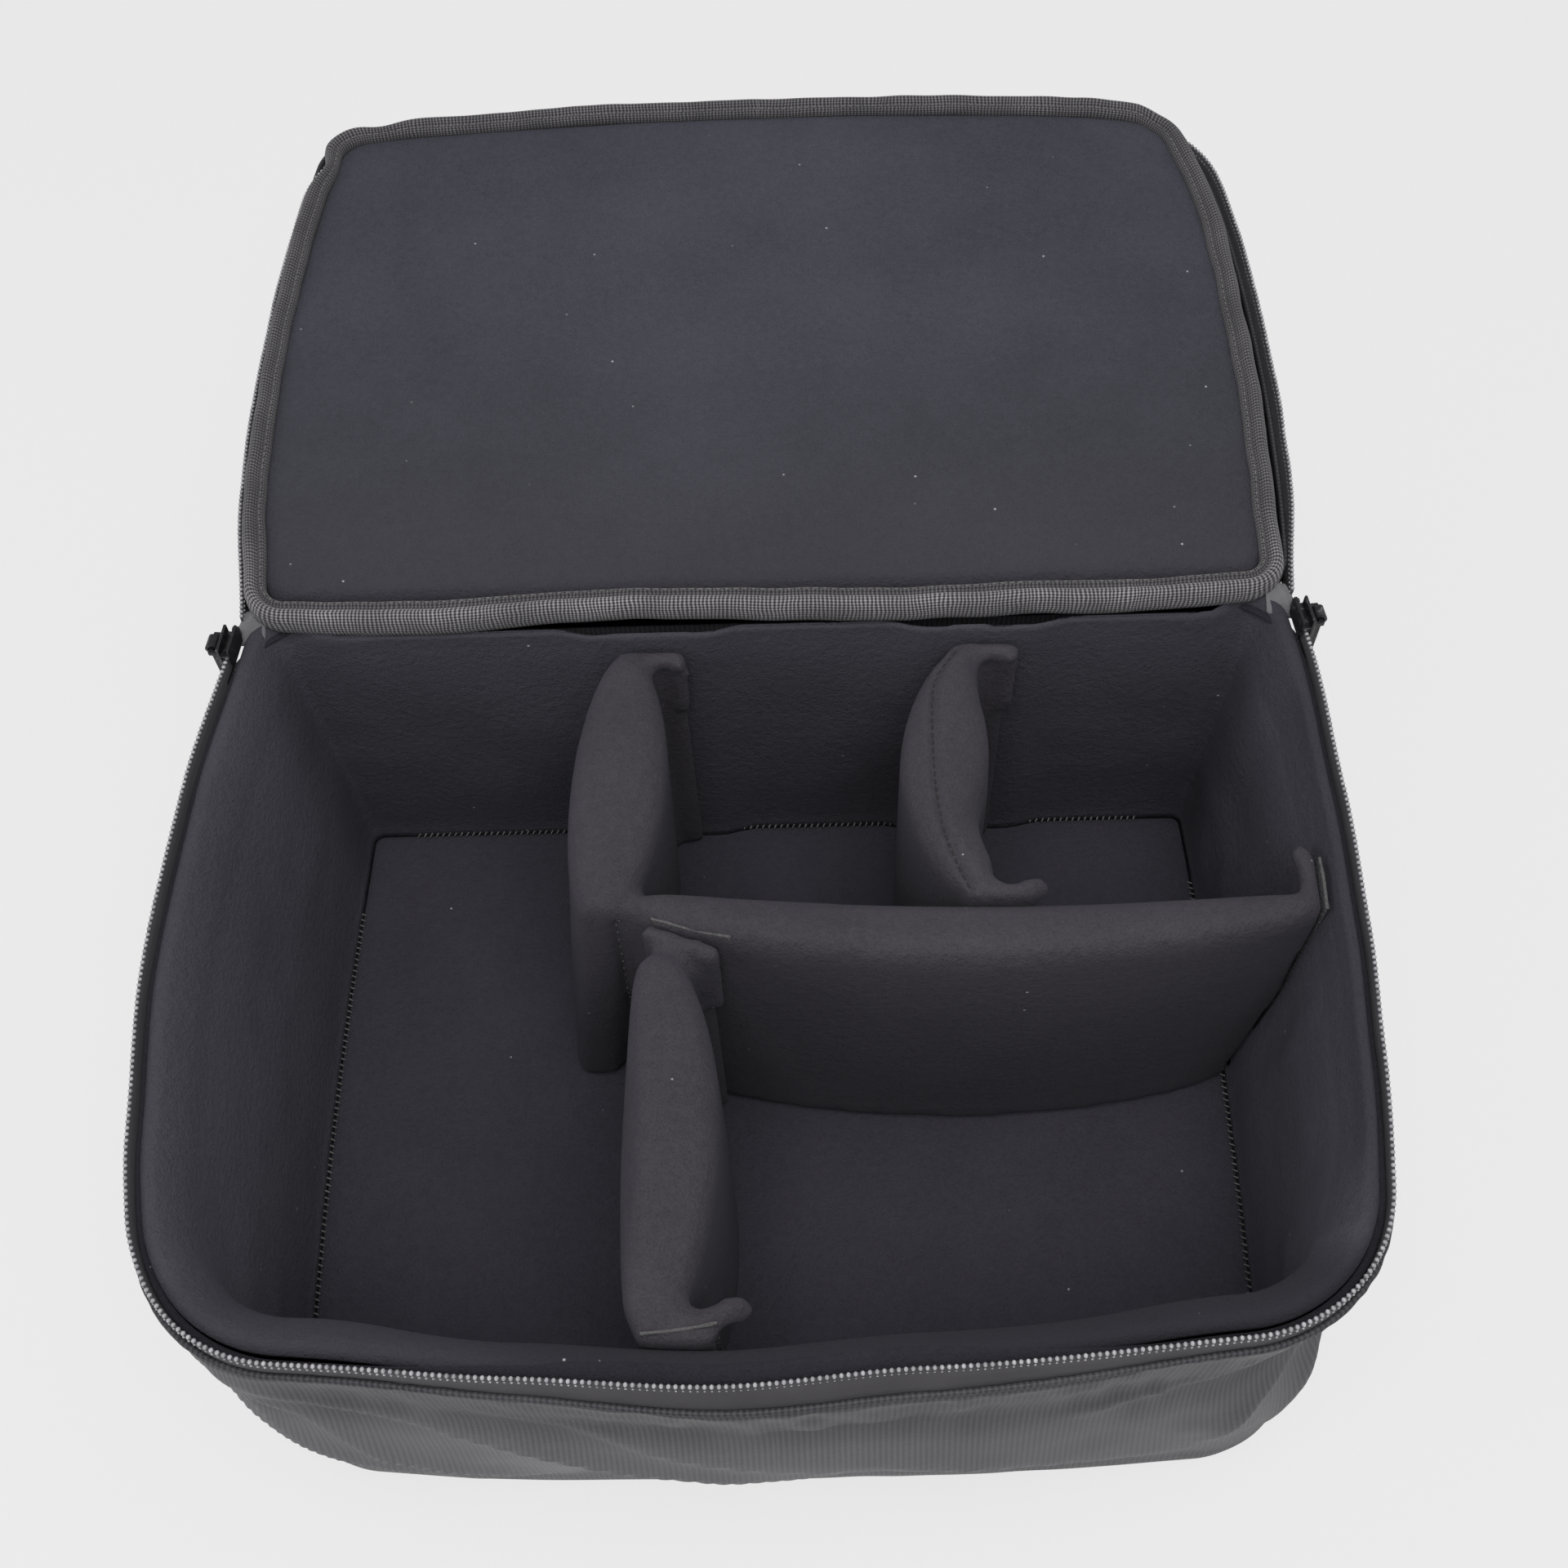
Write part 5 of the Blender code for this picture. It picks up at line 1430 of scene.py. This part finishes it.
def curve_through(points, count):
    """A smooth run of plan points through a few chosen ones."""
    points = np.asarray(points, float)
    ends = np.vstack([2 * points[0] - points[1], points, 2 * points[-1] - points[-2]])
    made = []
    for at in np.linspace(0, len(points) - 1, count, endpoint=False):
        i, t = int(at), at - int(at)
        a, b, c, d = ends[i:i + 4]
        made.append(0.5 * (2 * b + (c - a) * t + (2 * a - 5 * b + 4 * c - d) * t ** 2
                           + (3 * b - a - 3 * c + d) * t ** 3))
    return np.array(made)


def reach_right(points):
    """The long divider's right end, which presses its wall's foam thin."""
    moved = points.copy()
    moved[:, 0] += RIGHT_SPARE * ramp(points[:, 0], 0.110, 0.160) * ramp(points[:, 2], 0.02, 0.09)
    return moved


def make_long_divider():
    """The divider with a rear and a cross section, sewn to each other at a crease."""
    rear_x, cross_y = -0.047, 0.015
    back_tab_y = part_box("long_divider_back_tab")[0].y

    def rear_end(z):
        return rear_x - 0.0045 - 0.0165 * (1 - z / PAD_TOP_Z), 0.0120

    def cross_end(z):
        return wall_plan(z).side_x(0.009, WALL_DEPTH) - TAB_SPACE, 0.009

    rear = Pad(lambda z: (rear_x, back_tab_y + 0.0015), rear_end, 0.0012, 0.0158, end_half=0.0054)
    cross = Pad(lambda z: (-0.0420, cross_y), cross_end, -0.0090, 0.0108, 0.5)
    tabs = {"long_divider_back": (0.0029, -0.0022, 0.026), "long_divider_side": (0.0030, 0.0, 0.010)}
    long_divider = make_divider("long_divider_skin", "long_divider", [rear, cross], tabs,
                                ["long_divider_crease"], [ROUND_ROLL, ROUND_ROLL])
    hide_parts("long_divider_rear_cover", "long_divider_rear_foam",
                "long_divider_cross_cover", "long_divider_cross_foam", "long_divider_crease",
                "long_divider_back_tab", "long_divider_side_tab")
    place_mesh(long_divider, reach_right)
    height = np.linspace(0.040, 0.132, 60)
    x = -0.0475 - 0.004 * (1 - height / 0.142)
    path = np.column_stack([x, np.full(60, -0.08), height])
    seam = sew(long_divider, "long_divider_seam", path, (0.0, 1.0, 0.0), 0.0012,
               0.0052, (0.0007, 0.00030, 0.00028), PALE_THREAD)
    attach(seam, "long_divider")
    make_hooks("long_divider", "long_divider_back", -0.0080)
    for piece in make_hooks("long_divider", "long_divider_side", -0.0005):
        place_mesh(piece, reach_right)


def make_rear_divider():
    """The divider between the back wall and the long divider."""
    start_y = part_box("long_divider_back_tab")[0].y + 0.0015
    end_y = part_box("rear_divider_front_tab")[1].y - 0.0012
    back = Pad(lambda z: (0.066, start_y), lambda z: (0.066, end_y), -0.0085, 0.0135, 0.5, waist=0.34)
    tabs = {"rear_divider_back": (0.0029, -0.0022, 0.030), "rear_divider_front": (0.0029, 0.0, 0.004)}
    rear_divider = make_divider("rear_divider_skin", "rear_divider", [back], tabs, [], [PEAKED_ROLL])
    path = curve_through(TOP_SEAM, 90)
    seam = sew(rear_divider, "rear_divider_seam", level(path, 0.20), (0.0, 0.0, -1.0), 0.0019,
               0.0030, (0.0012, 0.00046, 0.00034), DARK_THREAD)
    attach(seam, "rear_divider")
    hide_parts("rear_divider_cover", "rear_divider_foam", "rear_divider_back_tab",
                "rear_divider_front_tab")
    make_hooks("rear_divider", "rear_divider_back", -0.0080)
    make_hooks("rear_divider", "rear_divider_front", -0.0090)


def make_front_divider():
    """The divider between the long divider and the front wall."""
    x = -0.034
    start_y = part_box("front_divider_back_tab")[0].y + 0.0015

    def front_end(z):
        return x, wall_plan(z).front_y(x, WALL_DEPTH) + TAB_SPACE

    front = Pad(lambda z: (x, start_y), front_end, 0.0055, 0.0142, 0.42)
    tabs = {"front_divider_back": (0.0029, -0.0010, 0.034),
            "front_divider_front": (0.0034, 0.005, 0.003, 0.0055)}
    front_divider = make_divider("front_divider_skin", "front_divider", [front], tabs, [],
                                 [ROUND_ROLL])
    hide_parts("front_divider_cover", "front_divider_foam",
                "front_divider_back_tab", "front_divider_front_tab")
    make_hooks("front_divider", "front_divider_back", -0.0008, 0.008)
    make_hooks("front_divider", "front_divider_front", 0.0004, 0.003, stand=(0.0024, 0.0056))


# Floor, light and camera
PALE_FLOOR = (0.842, 0.842, 0.842)
FLOOR_EVENNESS = 0.86


def make_stage():
    floor = new_object("studio_floor", [(-4, -4, 0), (4, -4, 0), (4, 4, 0), (-4, 4, 0)],
                       [(0, 1, 2, 3)], floor_look())
    floor.location.z = -0.0004
    world = bpy.data.worlds.new("studio")
    world.use_nodes = True
    bpy.context.scene.world = world
    tree = world.node_tree
    back = tree.nodes["Background"]
    back.inputs["Color"].default_value = (1.0, 0.985, 1.0, 1.0)
    back.inputs["Strength"].default_value = 0.50
    for name, place, size, power, colour in (
            ("key", (0.08, -0.34, 1.28), 0.8, 9.4, (1.0, 0.98, 0.985)),
            ("fill", (-1.5, -0.6, 0.7), 0.9, 4.5, (1.0, 0.985, 1.0))):
        lamp = bpy.data.lights.new(name, "AREA")
        lamp.size = size
        lamp.energy = power
        lamp.color = colour
        holder = bpy.data.objects.new(name, lamp)
        bpy.context.scene.collection.objects.link(holder)
        holder.location = place
        aim = Vector((0.0, 0.05, 0.08)) - Vector(place)
        holder.rotation_euler = aim.to_track_quat("-Z", "Y").to_euler()


def floor_look():
    """A pale floor that the camera and mirrors see mostly evenly lit, with the object's shadow."""
    look = Look("studio_floor", 0.9, Specular_IOR_Level=0.1)
    look.shade(look.layered((look.noise(0.004), 1.0)), (0.78, 0.78, 0.785), (0.80, 0.80, 0.805))
    rays = look.node("LightPath").outputs
    seen = look.sum(rays["Is Camera Ray"], rays["Is Glossy Ray"], "MAXIMUM")
    seen = look.sum(seen, rays["Is Transmission Ray"], "MAXIMUM")
    glow = look.node("Emission", {"Color": (*PALE_FLOOR, 1.0), "Strength": 1.0})
    share = look.sum(seen, FLOOR_EVENNESS, "MULTIPLY")
    both = look.node("MixShader", {0: share, 1: look.shader.outputs[0], 2: glow.outputs[0]})
    look.link(both.outputs[0], look.tree.nodes["Material Output"].inputs["Surface"])
    return look.made


def make_camera():
    """The camera where the photograph's was, from sizes that the photograph gives."""
    forward = Vector((math.sin(EYE_YAW) * math.cos(EYE_PITCH),
                      math.cos(EYE_YAW) * math.cos(EYE_PITCH), -math.sin(EYE_PITCH)))
    right = forward.cross(Vector((0, 0, 1))).normalized()
    up = right.cross(forward)
    right, up = (right * math.cos(EYE_ROLL) + up * math.sin(EYE_ROLL),
                 up * math.cos(EYE_ROLL) - right * math.sin(EYE_ROLL))
    data = bpy.data.cameras.new("camera")
    data.lens = EYE_LENS
    data.sensor_width = 36.0
    data.clip_start = 0.01
    camera = bpy.data.objects.new("camera", data)
    bpy.context.scene.collection.objects.link(camera)
    turned = Matrix((right, up, -forward)).transposed().to_4x4()
    camera.matrix_world = Matrix.Translation(EYE) @ turned
    bpy.context.scene.camera = camera


def dress_metal():
    """The sliders, pulls and stops are the frame's own, in satin metal."""
    for node in ("zip_slider_left", "zip_slider_right", "zip_pull_left", "zip_pull_right",
                 "zip_stop_left", "zip_stop_right"):
        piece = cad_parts[node]
        for slot in piece.material_slots:
            slot.material = METAL


make_camera()
make_stage()
make_cover()
make_base()
make_body_zip()
make_hem()
make_lining()
make_floor()
make_facing()
make_floor_seams()
make_binding()
make_lid_pad()
make_lid_shell()
make_lid_zip()
make_hinge_cloth()
make_gussets()
make_long_divider()
make_rear_divider()
make_front_divider()
dress_metal()
bpy.context.scene.view_settings.view_transform = "Standard"
